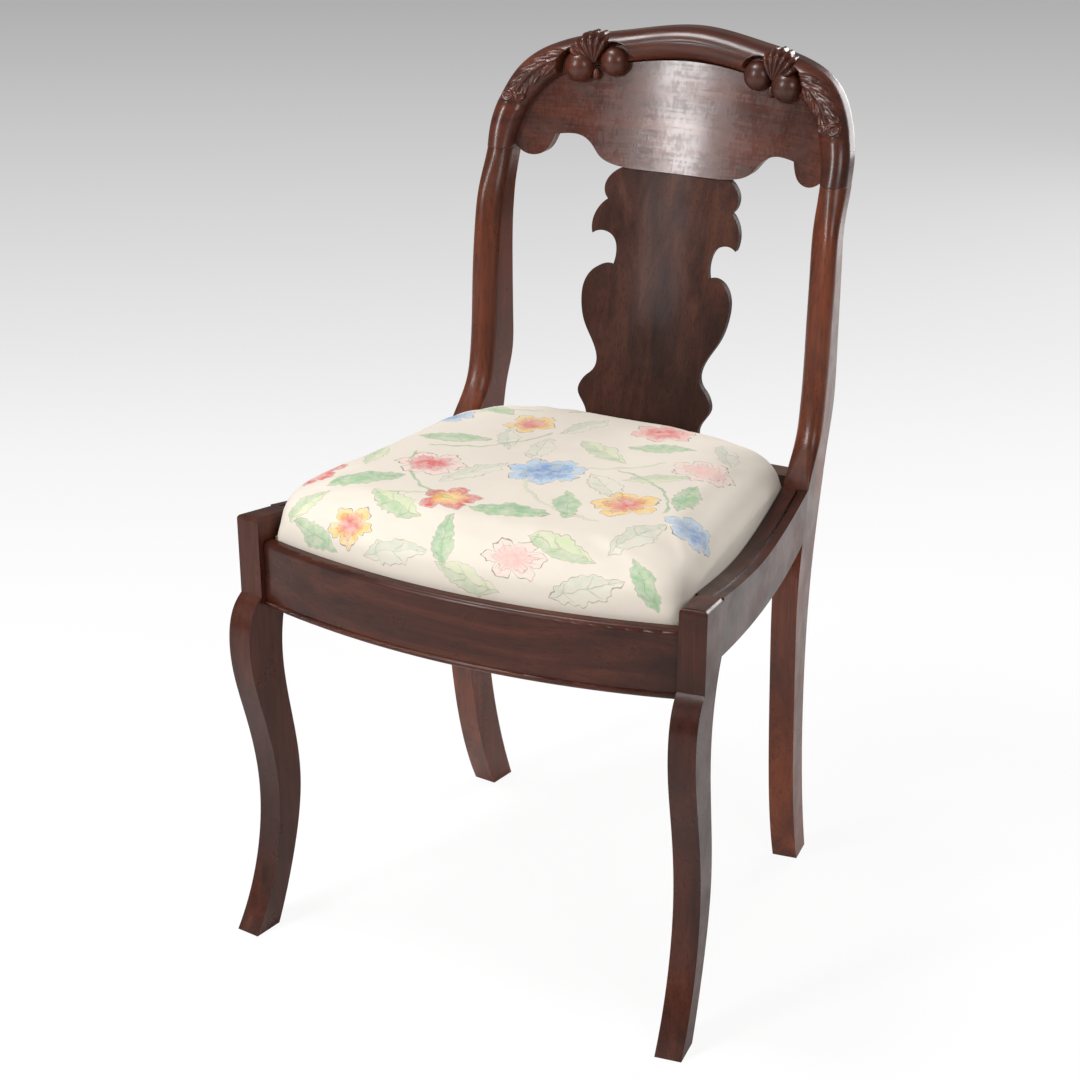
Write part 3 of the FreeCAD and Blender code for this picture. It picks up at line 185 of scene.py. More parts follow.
class Graph:
    """One material's node tree."""

    def __init__(self, name):
        self.material = bpy.data.materials.new(name)
        self.material.use_nodes = True
        self.tree = self.material.node_tree
        self.tree.nodes.clear()
        self.out = self.tree.nodes.new("ShaderNodeOutputMaterial")
        self.shader = self.tree.nodes.new("ShaderNodeBsdfPrincipled")
        self.tree.links.new(self.shader.outputs["BSDF"], self.out.inputs["Surface"])

    def put(self, socket, value):
        """Link a wire to a socket, or set the socket's own value."""
        if isinstance(value, Wire):
            self.tree.links.new(value.socket, socket)
        elif isinstance(value, tuple) and len(value) == 3 and len(socket.default_value) == 4:
            socket.default_value = (*value, 1.0)
        else:
            socket.default_value = value

    def node(self, kind, outputs, settings=None, **inputs):
        """Add a node: settings are its properties, inputs its sockets by name."""
        made = self.tree.nodes.new(kind)
        for name, value in (settings or {}).items():
            setattr(made, name, value)
        for name, value in inputs.items():
            self.put(made.inputs[name.replace("_", " ")], value)
        found = [Wire(self, made.outputs[o]) for o in outputs.split(",")]
        return found[0] if len(found) == 1 else found

    def math(self, operation, *values):
        made = self.tree.nodes.new("ShaderNodeMath")
        made.operation = operation
        for socket, value in zip(made.inputs, values):
            self.put(socket, value)
        return Wire(self, made.outputs[0])

    def mix(self, factor, first, second):
        """Mix two colours."""
        made = self.tree.nodes.new("ShaderNodeMix")
        made.data_type = "RGBA"
        self.put(made.inputs["Factor"], factor)
        self.put(made.inputs[6], first)
        self.put(made.inputs[7], second)
        return Wire(self, made.outputs[2])

    def ramp(self, value, stops):
        """A colour ramp from (place, colour) stops."""
        made = self.tree.nodes.new("ShaderNodeValToRGB")
        elements = made.color_ramp.elements
        while len(elements) < len(stops):
            elements.new(1.0)
        for element, (place, colour) in zip(elements, stops):
            element.position = place
            element.color = (*colour, 1.0)
        self.put(made.inputs["Fac"], value)
        return Wire(self, made.outputs["Color"])

    def span(self, value, low, high, to_low=0.0, to_high=1.0):
        """Carry a value from one range to another with a soft start and end, held at both ends."""
        return self.node(
            "ShaderNodeMapRange", "Result",
            {"interpolation_type": "SMOOTHSTEP", "clamp": False}, Value=value,
            From_Min=low, From_Max=high, To_Min=to_low, To_Max=to_high,
        )

    def noise(self, vector, scale, detail=4.0, roughness=0.5, distortion=0.0):
        return self.node(
            "ShaderNodeTexNoise", "Fac", Vector=vector, Scale=scale,
            Detail=detail, Roughness=roughness, Distortion=distortion,
        )

    def place(self, location=(0, 0, 0), scale=(1, 1, 1)):
        """Object coordinates, moved and stretched."""
        coordinates = self.node("ShaderNodeTexCoord", "Object")
        return self.node(
            "ShaderNodeMapping", "Vector", Vector=coordinates, Location=location, Scale=scale,
        )

    def split(self, vector):
        return self.node("ShaderNodeSeparateXYZ", "X,Y,Z", Vector=vector)

    def join(self, x, y, z):
        return self.node("ShaderNodeCombineXYZ", "Vector", X=x, Y=y, Z=z)

    def bump(self, height, strength, distance):
        normal = self.node(
            "ShaderNodeBump", "Normal", Height=height, Strength=strength, Distance=distance,
        )
        self.put(self.shader.inputs["Normal"], normal)

    def surface(self, **inputs):
        """Set the main shader's sockets."""
        for name, value in inputs.items():
            self.put(self.shader.inputs[name.replace("_", " ")], value)
        return self.material


# Materials

ALONG_X = 0
ALONG_Y = 1
ALONG_Z = 2


def stretch(way, share):
    """Scale that draws a pattern out along one axis."""
    return tuple(share if axis == way else 1.0 for axis in range(3))


def polished_wood(name, dark, mid, light, way, polish, shine=0.2, grain=1.0, shift=0.0, brushed=0.0):
    """Old polished mahogany with its grain along one direction."""
    graph = Graph(name)
    along = graph.place(location=(shift, shift * 0.7, shift * 0.3), scale=stretch(way, 0.06))
    streak = graph.noise(along, 48.0 * grain, 6.0, 0.62, 0.6)
    pores = graph.noise(graph.place(scale=stretch(way, 0.035)), 620.0, 3.0, 0.6)
    cloud = graph.noise(graph.place(location=(shift, 0, 0)), 7.0, 4.0, 0.6, 0.4)
    colour = graph.ramp(streak, [(0.28, dark), (0.52, mid), (0.78, light)])
    colour = graph.mix(graph.span(cloud, 0.44, 0.68, 0.0, 0.6), colour, dark)
    colour = graph.mix(graph.span(pores, 0.52, 0.66, 0.0, 0.4), colour, tuple(0.45 * c for c in dark))
    smear = graph.noise(graph.place(), 24.0, 5.0, 0.6)
    rubbed = graph.noise(graph.place(location=(0, 0, shift)), 70.0, 5.0, 0.7)
    dents = graph.span(rubbed, 0.69, 0.74)
    colour = graph.mix(dents * 0.35, colour, tuple(min(1.0, 2.2 * c) for c in light))
    roughness = graph.span(smear, 0.35, 0.7, polish, polish + 0.14)
    height = pores * -0.5 + smear * 0.6 - dents * 0.4
    if brushed:
        combed = graph.noise(graph.place(scale=(1.0, 1.0, 0.05)), 420.0, 2.0, 0.6)
        crossed = graph.noise(graph.place(scale=(0.05, 0.05, 1.0)), 420.0, 2.0, 0.6)
        height = height + (combed + crossed) * brushed
        roughness = roughness + graph.span(combed * crossed, 0.2, 0.35, -0.05, 0.05)
    graph.bump(height, 0.14, 0.0007)
    return graph.surface(
        Base_Color=colour, Roughness=roughness, Coat_Weight=0.4 * shine, Coat_Roughness=0.12,
        Specular_IOR_Level=shine,
    )


def plain_wood(name, dark, light, way, rough=0.62):
    """Unpolished wood of the hidden parts."""
    graph = Graph(name)
    along = graph.place(scale=stretch(way, 0.06))
    streak = graph.noise(along, 60.0, 5.0, 0.6, 0.4)
    colour = graph.ramp(streak, [(0.3, dark), (0.72, light)])
    graph.bump(streak, 0.15, 0.0005)
    return graph.surface(Base_Color=colour, Roughness=rough)


def woven(name, dark, light, pitch):
    """Coarse woven cloth."""
    graph = Graph(name)
    x, y, _ = graph.split(graph.place())
    weave = (x * (math.tau / pitch)).sin() * (y * (math.tau / pitch)).sin()
    colour = graph.mix(graph.span(weave, -0.6, 0.6), dark, light)
    graph.bump(weave, 0.5, 0.0006)
    return graph.surface(Base_Color=colour, Roughness=0.9)


def metal(name, colour, rough):
    graph = Graph(name)
    return graph.surface(Base_Color=colour, Roughness=rough, Metallic=1.0)


def printed_cotton(seat):
    """Cotton with a loose watercolour print of flowers and leaves."""
    graph = Graph("printed_cotton")
    place = graph.node("ShaderNodeAttribute", "Vector", {"attribute_name": "print_place"})
    x, y, _ = graph.split(place)
    sway = graph.noise(place, 60.0, 2.0, 0.5)
    x = x + (sway - 0.5) * 0.014
    y = y + (graph.noise(graph.join(y, x, 0.3), 60.0, 2.0, 0.5) - 0.5) * 0.014
    drawn = graph.join(x, y, 0.0)
    ground = tuple(seat.ground)
    wash = graph.span(graph.noise(place, 95.0, 4.0, 0.65), 0.32, 0.66, 0.45, 1.0)
    mottle = graph.span(graph.noise(place, 22.0, 3.0), 0.3, 0.7)
    colour = graph.mix(mottle, tuple(0.96 * c for c in ground), ground)
    ink = None

    def local(cx, cy, angle, long=1.0, wide=1.0):
        """Places as seen from a motif's own middle and direction."""
        vector = graph.node(
            "ShaderNodeMapping", "Vector", {"vector_type": "TEXTURE"}, Vector=drawn,
            Location=(cx, cy, 0.0), Rotation=(0.0, 0.0, math.radians(angle)), Scale=(long, wide, 1.0),
        )
        u, v, _ = graph.split(vector)
        return u, v

    def line(value, width):
        return 1.0 - graph.span(value.abs(), width * 0.35, width)

    def most(first, second):
        return second if first is None else first.most(second)

    for cx, cy, radius, low, high, tint, wide in PRINT_STEMS:
        u, v = local(cx, cy, (low + high) / 2)
        far = ((u * u) + (v * v)) ** 0.5
        turn = graph.math("ARCTAN2", v, u).abs()
        limit = math.radians((high - low) / 2)
        gate = 1.0 - graph.span(turn, limit - 0.03, limit)
        gap = (far - radius).abs()
        body = (1.0 - graph.span(gap, wide * 0.6, wide)) * gate
        colour = graph.mix(body * wash * 0.85, colour, tint)
        ink = most(ink, line(gap - wide, 0.0004) * gate * 0.6)
    for cx, cy, long, wide, angle, tint, strength in PRINT_LEAVES:
        u, v = local(cx, cy, angle, long, wide)
        teeth = (u * 24.0).sin() * 0.06
        inside = 1.0 - u * u - v.abs() + teeth * graph.span(v.abs(), 0.1, 0.4)
        body = graph.span(inside, 0.0, 0.08) * wash * strength
        shade = graph.mix(graph.span(v, -0.25, 0.25, 0.0, 0.45), tint, DEEP_LEAF)
        colour = graph.mix(body, colour, shade)
        ink = most(ink, line(inside, 0.04) * 0.85)
        rib = line(v, 0.035) * graph.span(inside, 0.0, 0.2)
        vein = graph.span((u * 9.0 - v.abs() * 3.5).cos(), 0.93, 1.0) * graph.span(inside, 0.12, 0.3)
        ink = most(ink, rib.most(vein * 0.6) * 0.6)
    for cx, cy, radius, petals, depth, angle, tint, heart, strength in PRINT_FLOWERS:
        u, v = local(cx, cy, angle, radius, radius * 0.86)
        far = ((u * u) + (v * v)) ** 0.5
        turn = graph.math("ARCTAN2", v, u)
        lobe = (turn * (petals * 0.5)).cos().abs()
        frill = (turn * (petals * 3.0)).cos() * 0.035
        rim = (lobe ** 0.55) * depth + frill + (1.0 - depth)
        inside = rim - far
        ring = inside - 0.36 * depth - 0.18
        body = graph.span(inside, 0.0, 0.07) * wash * strength
        tone = graph.mix(graph.span(far, 0.08, 0.8), heart, tint)
        tone = graph.mix(graph.span(ring, -0.03, 0.03, 0.0, 0.35), tone, heart)
        colour = graph.mix(body, colour, tone)
        rays = graph.span((turn * (petals * 3.5)).cos(), 0.9, 1.0)
        rays = rays * graph.span(inside, 0.02, 0.3) * graph.span(far, 0.05, 0.4)
        ink = most(ink, line(inside, 0.03).most(line(ring, 0.025) * 0.6).most(rays * 0.5))
    faded = graph.span(graph.noise(place, 40.0, 3.0), 0.3, 0.6, 0.35, 0.85)
    colour = graph.mix(ink * faded, colour, INK)
    bx, by, _ = graph.split(place)
    weave = (bx * (math.tau / 0.0011)).sin() * (by * (math.tau / 0.0011)).sin()
    pull = graph.noise(place, 12.0, 3.0, 0.5)
    graph.bump(weave * 0.08 + pull, 0.22, 0.0014)
    return graph.surface(
        Base_Color=colour, Roughness=0.88, Specular_IOR_Level=0.2, Sheen_Weight=0.1, Sheen_Roughness=0.5,
    )


CORAL = (0.66, 0.045, 0.06)
ROSE = (0.84, 0.40, 0.38)
BLUSH = (0.86, 0.62, 0.58)
SKY = (0.10, 0.26, 0.55)
PALE_SKY = (0.36, 0.55, 0.78)
SUN = (0.88, 0.55, 0.10)
LEAF = (0.26, 0.50, 0.24)
DEEP_LEAF = (0.14, 0.36, 0.20)
PALE_LEAF = (0.58, 0.68, 0.40)
SAGE = (0.66, 0.70, 0.58)
INK = (0.22, 0.20, 0.14)

# middle x, middle y, half length, half width, angle, colour, strength
PRINT_LEAVES = [
    (-0.128, 0.052, 0.036, 0.013, 28, LEAF, 0.85),
    (-0.078, 0.020, 0.032, 0.012, 160, PALE_LEAF, 0.9),
    (-0.150, 0.106, 0.028, 0.010, 100, PALE_LEAF, 0.7),
    (-0.046, 0.104, 0.038, 0.012, 62, SAGE, 0.45),
    (0.026, 0.040, 0.038, 0.013, 12, LEAF, 0.85),
    (0.066, 0.074, 0.032, 0.011, 118, LEAF, 0.75),
    (0.094, 0.008, 0.034, 0.012, 170, PALE_LEAF, 0.8),
    (0.148, 0.046, 0.034, 0.012, 70, SAGE, 0.5),
    (0.150, 0.140, 0.032, 0.011, 100, LEAF, 0.8),
    (0.108, 0.166, 0.030, 0.010, 35, PALE_LEAF, 0.6),
    (-0.108, 0.178, 0.036, 0.012, 15, LEAF, 0.7),
    (-0.060, 0.196, 0.030, 0.010, 120, SAGE, 0.45),
    (-0.168, 0.206, 0.028, 0.010, 75, PALE_LEAF, 0.7),
    (0.034, 0.206, 0.036, 0.012, 150, PALE_LEAF, 0.65),
    (0.078, 0.240, 0.032, 0.011, 25, LEAF, 0.7),
    (-0.012, 0.262, 0.032, 0.011, 70, SAGE, 0.5),
    (-0.120, 0.276, 0.034, 0.011, 150, LEAF, 0.65),
    (0.134, 0.262, 0.028, 0.010, 120, SAGE, 0.5),
    (0.020, 0.318, 0.032, 0.010, 10, PALE_LEAF, 0.6),
    (-0.014, -0.012, 0.030, 0.011, 95, LEAF, 0.8),
    (-0.168, 0.004, 0.028, 0.010, 55, PALE_LEAF, 0.8),
    (0.172, -0.006, 0.028, 0.010, 120, LEAF, 0.8),
    (-0.060, -0.036, 0.034, 0.013, 12, SAGE, 0.5),
    (0.014, -0.048, 0.032, 0.012, 165, PALE_LEAF, 0.6),
    (0.124, -0.030, 0.036, 0.014, 30, SAGE, 0.4),
    (-0.150, -0.030, 0.030, 0.011, 150, LEAF, 0.7),
    (0.076, 0.128, 0.034, 0.013, 140, SAGE, 0.3),
    (-0.020, 0.186, 0.030, 0.011, 100, SAGE, 0.3),
]
# middle x, middle y, radius, petals, depth of the petals, angle, colour, heart, strength
PRINT_FLOWERS = [
    (-0.092, 0.106, 0.033, 6, 0.40, 10, BLUSH, CORAL, 0.95),
    (0.012, 0.136, 0.036, 7, 0.34, 30, PALE_SKY, SKY, 0.95),
    (0.112, 0.098, 0.031, 5, 0.44, 55, SUN, CORAL, 0.85),
    (-0.034, 0.042, 0.027, 5, 0.44, 20, CORAL, SUN, 0.9),
    (-0.150, 0.238, 0.028, 7, 0.36, 0, PALE_SKY, SKY, 0.85),
    (0.060, 0.282, 0.031, 6, 0.42, 40, ROSE, CORAL, 0.85),
    (0.136, 0.208, 0.029, 7, 0.38, 15, BLUSH, ROSE, 0.7),
    (-0.062, 0.244, 0.027, 5, 0.44, 70, SUN, CORAL, 0.8),
    (-0.186, 0.060, 0.026, 6, 0.40, 35, CORAL, ROSE, 0.9),
    (0.182, 0.092, 0.027, 6, 0.36, 0, PALE_SKY, SKY, 0.85),
    (0.056, -0.016, 0.029, 6, 0.42, 10, BLUSH, ROSE, 0.75),
    (-0.112, -0.014, 0.026, 5, 0.42, 60, SUN, CORAL, 0.8),
    (-0.010, 0.330, 0.024, 6, 0.40, 0, CORAL, SUN, 0.7),
]
# middle x, middle y, radius, first angle, last angle, colour, half width
PRINT_STEMS = [
    (-0.010, 0.150, 0.112, 190, 262, LEAF, 0.0013),
    (0.100, 0.160, 0.108, 185, 275, PALE_LEAF, 0.0012),
    (-0.130, 0.250, 0.100, 275, 350, LEAF, 0.0012),
    (0.010, 0.250, 0.096, 260, 335, PALE_LEAF, 0.0012),
    (0.060, 0.080, 0.090, 10, 85, LEAF, 0.0013),
    (-0.060, 0.180, 0.104, 95, 165, PALE_LEAF, 0.0012),
    (0.010, 0.235, 0.082, 60, 135, LEAF, 0.0011),
    (-0.050, -0.050, 0.092, 55, 125, PALE_LEAF, 0.0012),
]

MATERIALS = {}


# how the woods differ from the main colours: red, green and blue shares
WARMER = (2.2, 1.95, 1.4)
BROWNER = (0.85, 1.15, 1.35)
REDDER = (1.35, 1.2, 1.05)


def make_materials(wood, seat):
    tones = [tuple(wood.dark), tuple(wood.mid), tuple(wood.light)]
    warm, brown, red = (
        [tuple(c * f for c, f in zip(tone, shares)) for tone in tones]
        for shares in (WARMER, BROWNER, REDDER)
    )
    polish = wood.polish
    for key, colours, way, rough, more in (
        ("front_legs", tones, ALONG_Z, polish, {"shift": 0.3}),
        ("rear_legs", warm, ALONG_Z, polish, {"shine": 0.3, "shift": 0.8}),
        ("front_rail", tones, ALONG_X, polish, {"shift": 1.1}),
        ("side_rails", tones, ALONG_Y, polish, {"shift": 2.3}),
        ("veneer", red, ALONG_X, polish - 0.02, {"shine": 0.5, "grain": 0.8, "shift": 0.9, "brushed": 0.5}),
        ("splat", brown, ALONG_Z, polish + 0.16, {"shine": 0.08, "shift": 1.9}),
        ("crest", red, ALONG_X, polish, {"shine": 0.36, "shift": 0.5}),
        ("carved", red, ALONG_X, polish, {"shine": 0.36, "shift": 0.7}),
    ):
        MATERIALS[key] = polished_wood("mahogany_" + key, *colours, way, rough, **more)
    MATERIALS["print"] = printed_cotton(seat)
    MATERIALS["poplar"] = plain_wood("poplar", (0.05, 0.022, 0.012), (0.14, 0.070, 0.035), ALONG_X)
    MATERIALS["pine"] = plain_wood("pine", (0.30, 0.18, 0.08), (0.52, 0.36, 0.19), ALONG_X)
    MATERIALS["webbing"] = woven("webbing", (0.16, 0.12, 0.07), (0.36, 0.29, 0.18), 0.0032)
    MATERIALS["sacking"] = woven("sacking", (0.20, 0.14, 0.08), (0.42, 0.32, 0.19), 0.0021)
    MATERIALS["horsehair"] = woven("horsehair", (0.02, 0.015, 0.01), (0.06, 0.045, 0.03), 0.0015)
    MATERIALS["iron"] = metal("iron", (0.12, 0.11, 0.11), 0.5)


WOOD_OF = {
    "front_legs": ("front_leg_right", "front_leg_left"),
    "rear_legs": ("rear_leg_right", "rear_leg_left"),
    "side_rails": ("side_rail_right", "side_rail_left"),
    "front_rail": ("front_rail", "front_rail_bead", "crest_rail"),
    "veneer": ("tablet_veneer",),
    "splat": ("splat",),
    "poplar": ("tablet_core", "crest_dowels", "rear_rail", "corner_block_front_right",
               "corner_block_front_left", "corner_block_rear_right", "corner_block_rear_left"),
    "pine": ("seat_frame_front", "seat_frame_back", "seat_frame_right", "seat_frame_left"),
    "webbing": ("seat_webbing",),
    "sacking": ("seat_hessian",),
    "horsehair": ("seat_stuffing", "seat_cover"),
    "iron": ("seat_tacks",),
}


def clothe(obj, material):
    """Give an object one material."""
    for slot in obj.material_slots:
        slot.link = "OBJECT"
        slot.material = material
    if not obj.material_slots:
        obj.data.materials.append(material)


def dress_cad():
    """Give every shown node of the construction its material."""
    for key, names in WOOD_OF.items():
        for name in names:
            clothe(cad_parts[name], MATERIALS[key])


# Shapes shared by the carved crest: the same curves and hollow as in the construction, in millimetres

SETBACK = 222.3
LEAN = math.tan(math.radians(15.9))
HOLLOW = 450.0
FACE_BACK = 426.5
FACE_HIGH = 672.0
CREST_PROUD = 12.5
CREST_BACK = 17.5
CREST_RADII = (12.5, 12.5, 5.0, 5.0)
# how much rounder the crest's front grows, and how far from the joint it is fully so
PLUMPER = 3.6
PLUMP_FROM = 190.0
# points of a section that lie on its front
FRONT_POINTS = 54
OUTER = [
    (190.0, 686.0), (189.0, 712.0), (182.0, 738.0), (170.0, 761.0), (152.0, 777.0),
    (126.0, 787.5), (70.0, 798.0), (0.0, 806.5),
]
INNER = [
    (163.5, 686.0), (161.5, 702.0), (155.5, 721.0), (145.5, 739.0), (129.5, 753.0),
    (101.5, 762.5), (52.0, 770.5), (0.0, 774.5),
]


def smooth_curve(points, count):
    """Points spaced evenly along a smooth curve through the given ones."""
    data = np.array(points, float)
    steps = np.linalg.norm(np.diff(data, axis=0), axis=1)
    place = np.concatenate([[0.0], np.cumsum(steps)])
    number = len(data)
    system = np.zeros((number, number))
    right = np.zeros((number, 2))
    system[0, 0] = 1.0
    system[-1, -1] = 1.0
    for i in range(1, number - 1):
        before, after = steps[i - 1], steps[i]
        system[i, i - 1] = before
        system[i, i] = 2 * (before + after)
        system[i, i + 1] = after
        right[i] = 6 * ((data[i + 1] - data[i]) / after - (data[i] - data[i - 1]) / before)
    bend = np.linalg.solve(system, right)
    fine = np.linspace(0, place[-1], 40 * number)
    index = np.clip(np.searchsorted(place, fine, side="right") - 1, 0, number - 2)
    span = steps[index][:, None]
    low = ((place[index + 1] - fine)[:, None]) / span
    high = 1 - low
    curve = low * data[index] + high * data[index + 1]
    curve += ((low**3 - low) * bend[index] + (high**3 - high) * bend[index + 1]) * span**2 / 6
    length = np.concatenate([[0.0], np.cumsum(np.linalg.norm(np.diff(curve, axis=0), axis=1))])
    even = np.linspace(0, length[-1], count)
    return np.stack([np.interp(even, length, curve[:, 0]), np.interp(even, length, curve[:, 1])], -1)


def both_halves(half):
    return half + [(-x, z) for x, z in reversed(half[:-1])]


BAND_STEPS = 601
BAND_OUTER = smooth_curve(both_halves(OUTER), BAND_STEPS)
BAND_INNER = smooth_curve(both_halves(INNER), BAND_STEPS)


def face_y(x, z, depth=0.0):
    """Where a face of the hollow back lies, a depth behind the tablet's face."""
    middle = FACE_BACK + (z - FACE_HIGH) * LEAN - HOLLOW
    return -SETBACK + middle + math.sqrt((HOLLOW + depth) ** 2 - x * x)


def band_place(along, across):
    """A place on the crest's band: along it from one joint (0) to the other (1), and across it."""
    spot = along * (BAND_STEPS - 1)
    low = min(int(spot), BAND_STEPS - 2)
    share = spot - low
    outer = BAND_OUTER[low] * (1 - share) + BAND_OUTER[low + 1] * share
    inner = BAND_INNER[low] * (1 - share) + BAND_INNER[low + 1] * share
    return inner * (1 - across) + outer * across


def rounded_section(corners, radii):
    """Points and outward directions round a four-sided section with rounded corners."""
    arcs = []
    for i, here in enumerate(corners):
        before = (corners[i - 1] - here).normalized()
        after = (corners[(i + 1) % 4] - here).normalized()
        half = before.angle(after) / 2
        middle = here + (before + after).normalized() * radii[i] / math.sin(half)
        first = (here + before * radii[i] / math.tan(half) - middle).normalized()
        last = (here + after * radii[i] / math.tan(half) - middle).normalized()
        sweep = first.angle(last)
        steps = 22 if radii[i] > 8 else 6
        arc = []
        for k in range(steps + 1):
            share = k / steps
            out = (first * math.sin((1 - share) * sweep) + last * math.sin(share * sweep)) / math.sin(sweep)
            arc.append((middle + out * radii[i], out))
        arcs.append(arc)
    section = []
    for i, arc in enumerate(arcs):
        section += arc
        start, out = arc[-1]
        end = arcs[(i + 1) % 4][0][0]
        section += [(start.lerp(end, k / 5), out) for k in range(1, 5)]
    return section


def mm(x, y, z):
    return Vector((x * 0.001, y * 0.001, z * 0.001))


def grid_faces(made, rows, close_columns=False):
    """Join a grid of vertices with quads."""
    for first, second in zip(rows, rows[1:]):
        width = len(first)
        for j in range(width if close_columns else width - 1):
            k = (j + 1) % width
            made.faces.new((first[j], first[k], second[k], second[j]))


def finished(made, name):
    """Turn a bmesh into an object with outward faces."""
    bmesh.ops.recalc_face_normals(made, faces=made.faces)
    mesh = bpy.data.meshes.new(name)
    made.to_mesh(mesh)
    made.free()
    for polygon in mesh.polygons:
        polygon.use_smooth = True
    obj = bpy.data.objects.new(name, mesh)
    bpy.context.scene.collection.objects.link(obj)
    return obj


# carved leaf: distance from the joint, side, direction, half length, half width and height of its lobes
LOBES = []
for number in range(4):
    fade = 1.0 - 0.08 * number
    LOBES.append((121.0 - 16.5 * number, 6.0, 157.0, 15.0 * fade, 4.3 * fade, 4.0 * fade))
    LOBES.append((117.0 - 16.0 * number, -5.8, 200.0, 13.5 * fade, 3.8 * fade, 3.4 * fade))
# its two scrolls: distance from the joint, side and radius
SCROLLS = ((55.0, 4.8, 4.4), (59.0, -6.5, 3.4))
LEAF_START = 44.0
LEAF_END = 140.0


def lobe_height(along, across, lobe):
    """Height of one fluted leaf lobe at a place on the band."""
    middle, side, angle, long, wide, high = lobe
    turn = math.radians(angle)
    m = (along - middle) * math.cos(turn) + (across - side) * math.sin(turn)
    n = (across - side) * math.cos(turn) - (along - middle) * math.sin(turn)
    fullness = 1.0 - (m / long) ** 2 - (n / wide) ** 2
    if fullness <= 0:
        return 0.0
    height = high * math.sqrt(fullness) * (0.75 + 0.35 * m / long)
    return max(0.0, height - 1.7 * math.exp(-((n / 0.95) ** 2)) * min(1.0, fullness * 3))


def leaf_relief(along, across):
    """Height of the carved leaf over the moulding, by distance from the joint and from its middle."""
    if not LEAF_START < along < LEAF_END:
        return 0.0
    reach = min(1.0, (along - LEAF_START) / 6.0, (LEAF_END - along) / 5.0)
    height = max(lobe_height(along, across, lobe) for lobe in LOBES)
    rib_side = -0.5 + 1.8 * math.sin((along - 60.0) / 24.0)
    rib = 3.4 * math.exp(-(((across - rib_side) / 1.7) ** 2)) * min(1.0, max(0.0, (along - 56.0) / 10.0))
    height = max(height, rib)
    for middle, side, size in SCROLLS:
        gap = math.hypot(along - middle, across - side)
        ring = 3.0 * math.exp(-(((gap - size) / 1.35) ** 2))
        eye = 2.4 * math.exp(-((gap / 1.3) ** 2))
        height = max(height, ring, eye)
    return (height - 0.9) * reach


def scooped(point, crest):
    """Push a point of the moulding back where it lies beside a carved ball."""
    for across, high, size in crest_balls(crest):
        gap = math.hypot(abs(point.x) - across, point.z - high) - size
        if gap < 5.0:
            back = face_y(point.x, point.z, -2.0)
            if point.y < back:
                share = 1.0 if gap < 2.0 else (5.0 - gap) / 3.0
                point.y += (back - point.y) * share


def crest_balls(crest):
    """Place and size of the two balls of one side, outer first."""
    return (
        (110.0, 764.0, crest.ball_outer * 1000),
        (76.5, 770.0, crest.ball_inner * 1000),
    )


# middle of the chair and floor to the shell's root and to the bud under it
SHELL_ROOT = (94.5, 767.0)
BUD = (93.0, 757.5)


def make_crest(crest):
    """The crest: a round moulding bent over the back, carved on its shoulders."""
    made = bmesh.new()
    rows = []
    length = sum(math.dist(a, b) for a, b in zip(BAND_OUTER, BAND_OUTER[1:]))
    for step in range(BAND_STEPS):
        along = step / (BAND_STEPS - 1)
        outer = band_place(along, 1.0)
        inner = band_place(along, 0.0)
        corners = [
            Vector((outer[0], face_y(*outer, -CREST_PROUD), outer[1])),
            Vector((inner[0], face_y(*inner, -CREST_PROUD), inner[1])),
            Vector((inner[0], face_y(*inner, CREST_BACK), inner[1])),
            Vector((outer[0], face_y(*outer, CREST_BACK), outer[1])),
        ]
        middle = (corners[0] + corners[1]) / 2
        across_way = (corners[0] - corners[1]).normalized()
        distance = min(along, 1 - along) * length
        fullness = min(1.0, distance / PLUMP_FROM)
        front = CREST_RADII[0] + PLUMPER * fullness * fullness * (3 - 2 * fullness)
        radii = (front, front, *CREST_RADII[2:])
        row = []
        for number, (point, out) in enumerate(rounded_section(corners, radii)):
            if number < FRONT_POINTS:
                across = (point - middle).dot(across_way)
                facing = min(1.0, max(0.0, -out.y * 1.6))
                point = point + out * leaf_relief(distance, across) * facing * crest.leaf_depth
                scooped(point, crest)
            row.append(made.verts.new(point * 0.001))
        rows.append(row)
    grid_faces(made, rows, close_columns=True)
    made.faces.new(rows[0])
    made.faces.new(rows[-1])
    moulding = finished(made, "crest_moulding")
    clothe(moulding, MATERIALS["crest"])
    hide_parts("crest_rail")
    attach(moulding, "frame")


def make_carving(crest):
    """The carved shells and balls over the two shoulders of the crest."""
    made = bmesh.new()
    for side in (-1, 1):
        for across, high, size in crest_balls(crest):
            ball = bmesh.ops.create_uvsphere(made, u_segments=40, v_segments=24, radius=size * 0.001)
            centre = mm(side * across, face_y(across, high, -4.5), high)
            bmesh.ops.scale(made, verts=ball["verts"], vec=Vector((1.0, 0.84, 1.0)))
            bmesh.ops.translate(made, verts=ball["verts"], vec=centre)
        bud = bmesh.ops.create_uvsphere(made, u_segments=20, v_segments=12, radius=0.0042)
        centre = mm(side * BUD[0], face_y(*BUD, -4.0), BUD[1])
        bmesh.ops.scale(made, verts=bud["verts"], vec=Vector((0.9, 1.0, 1.35)))
        bmesh.ops.translate(made, verts=bud["verts"], vec=centre)
        shell(made, side, crest.shell_lobes)
    carving = finished(made, "crest_carving")
    clothe(carving, MATERIALS["carved"])
    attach(carving, "frame")


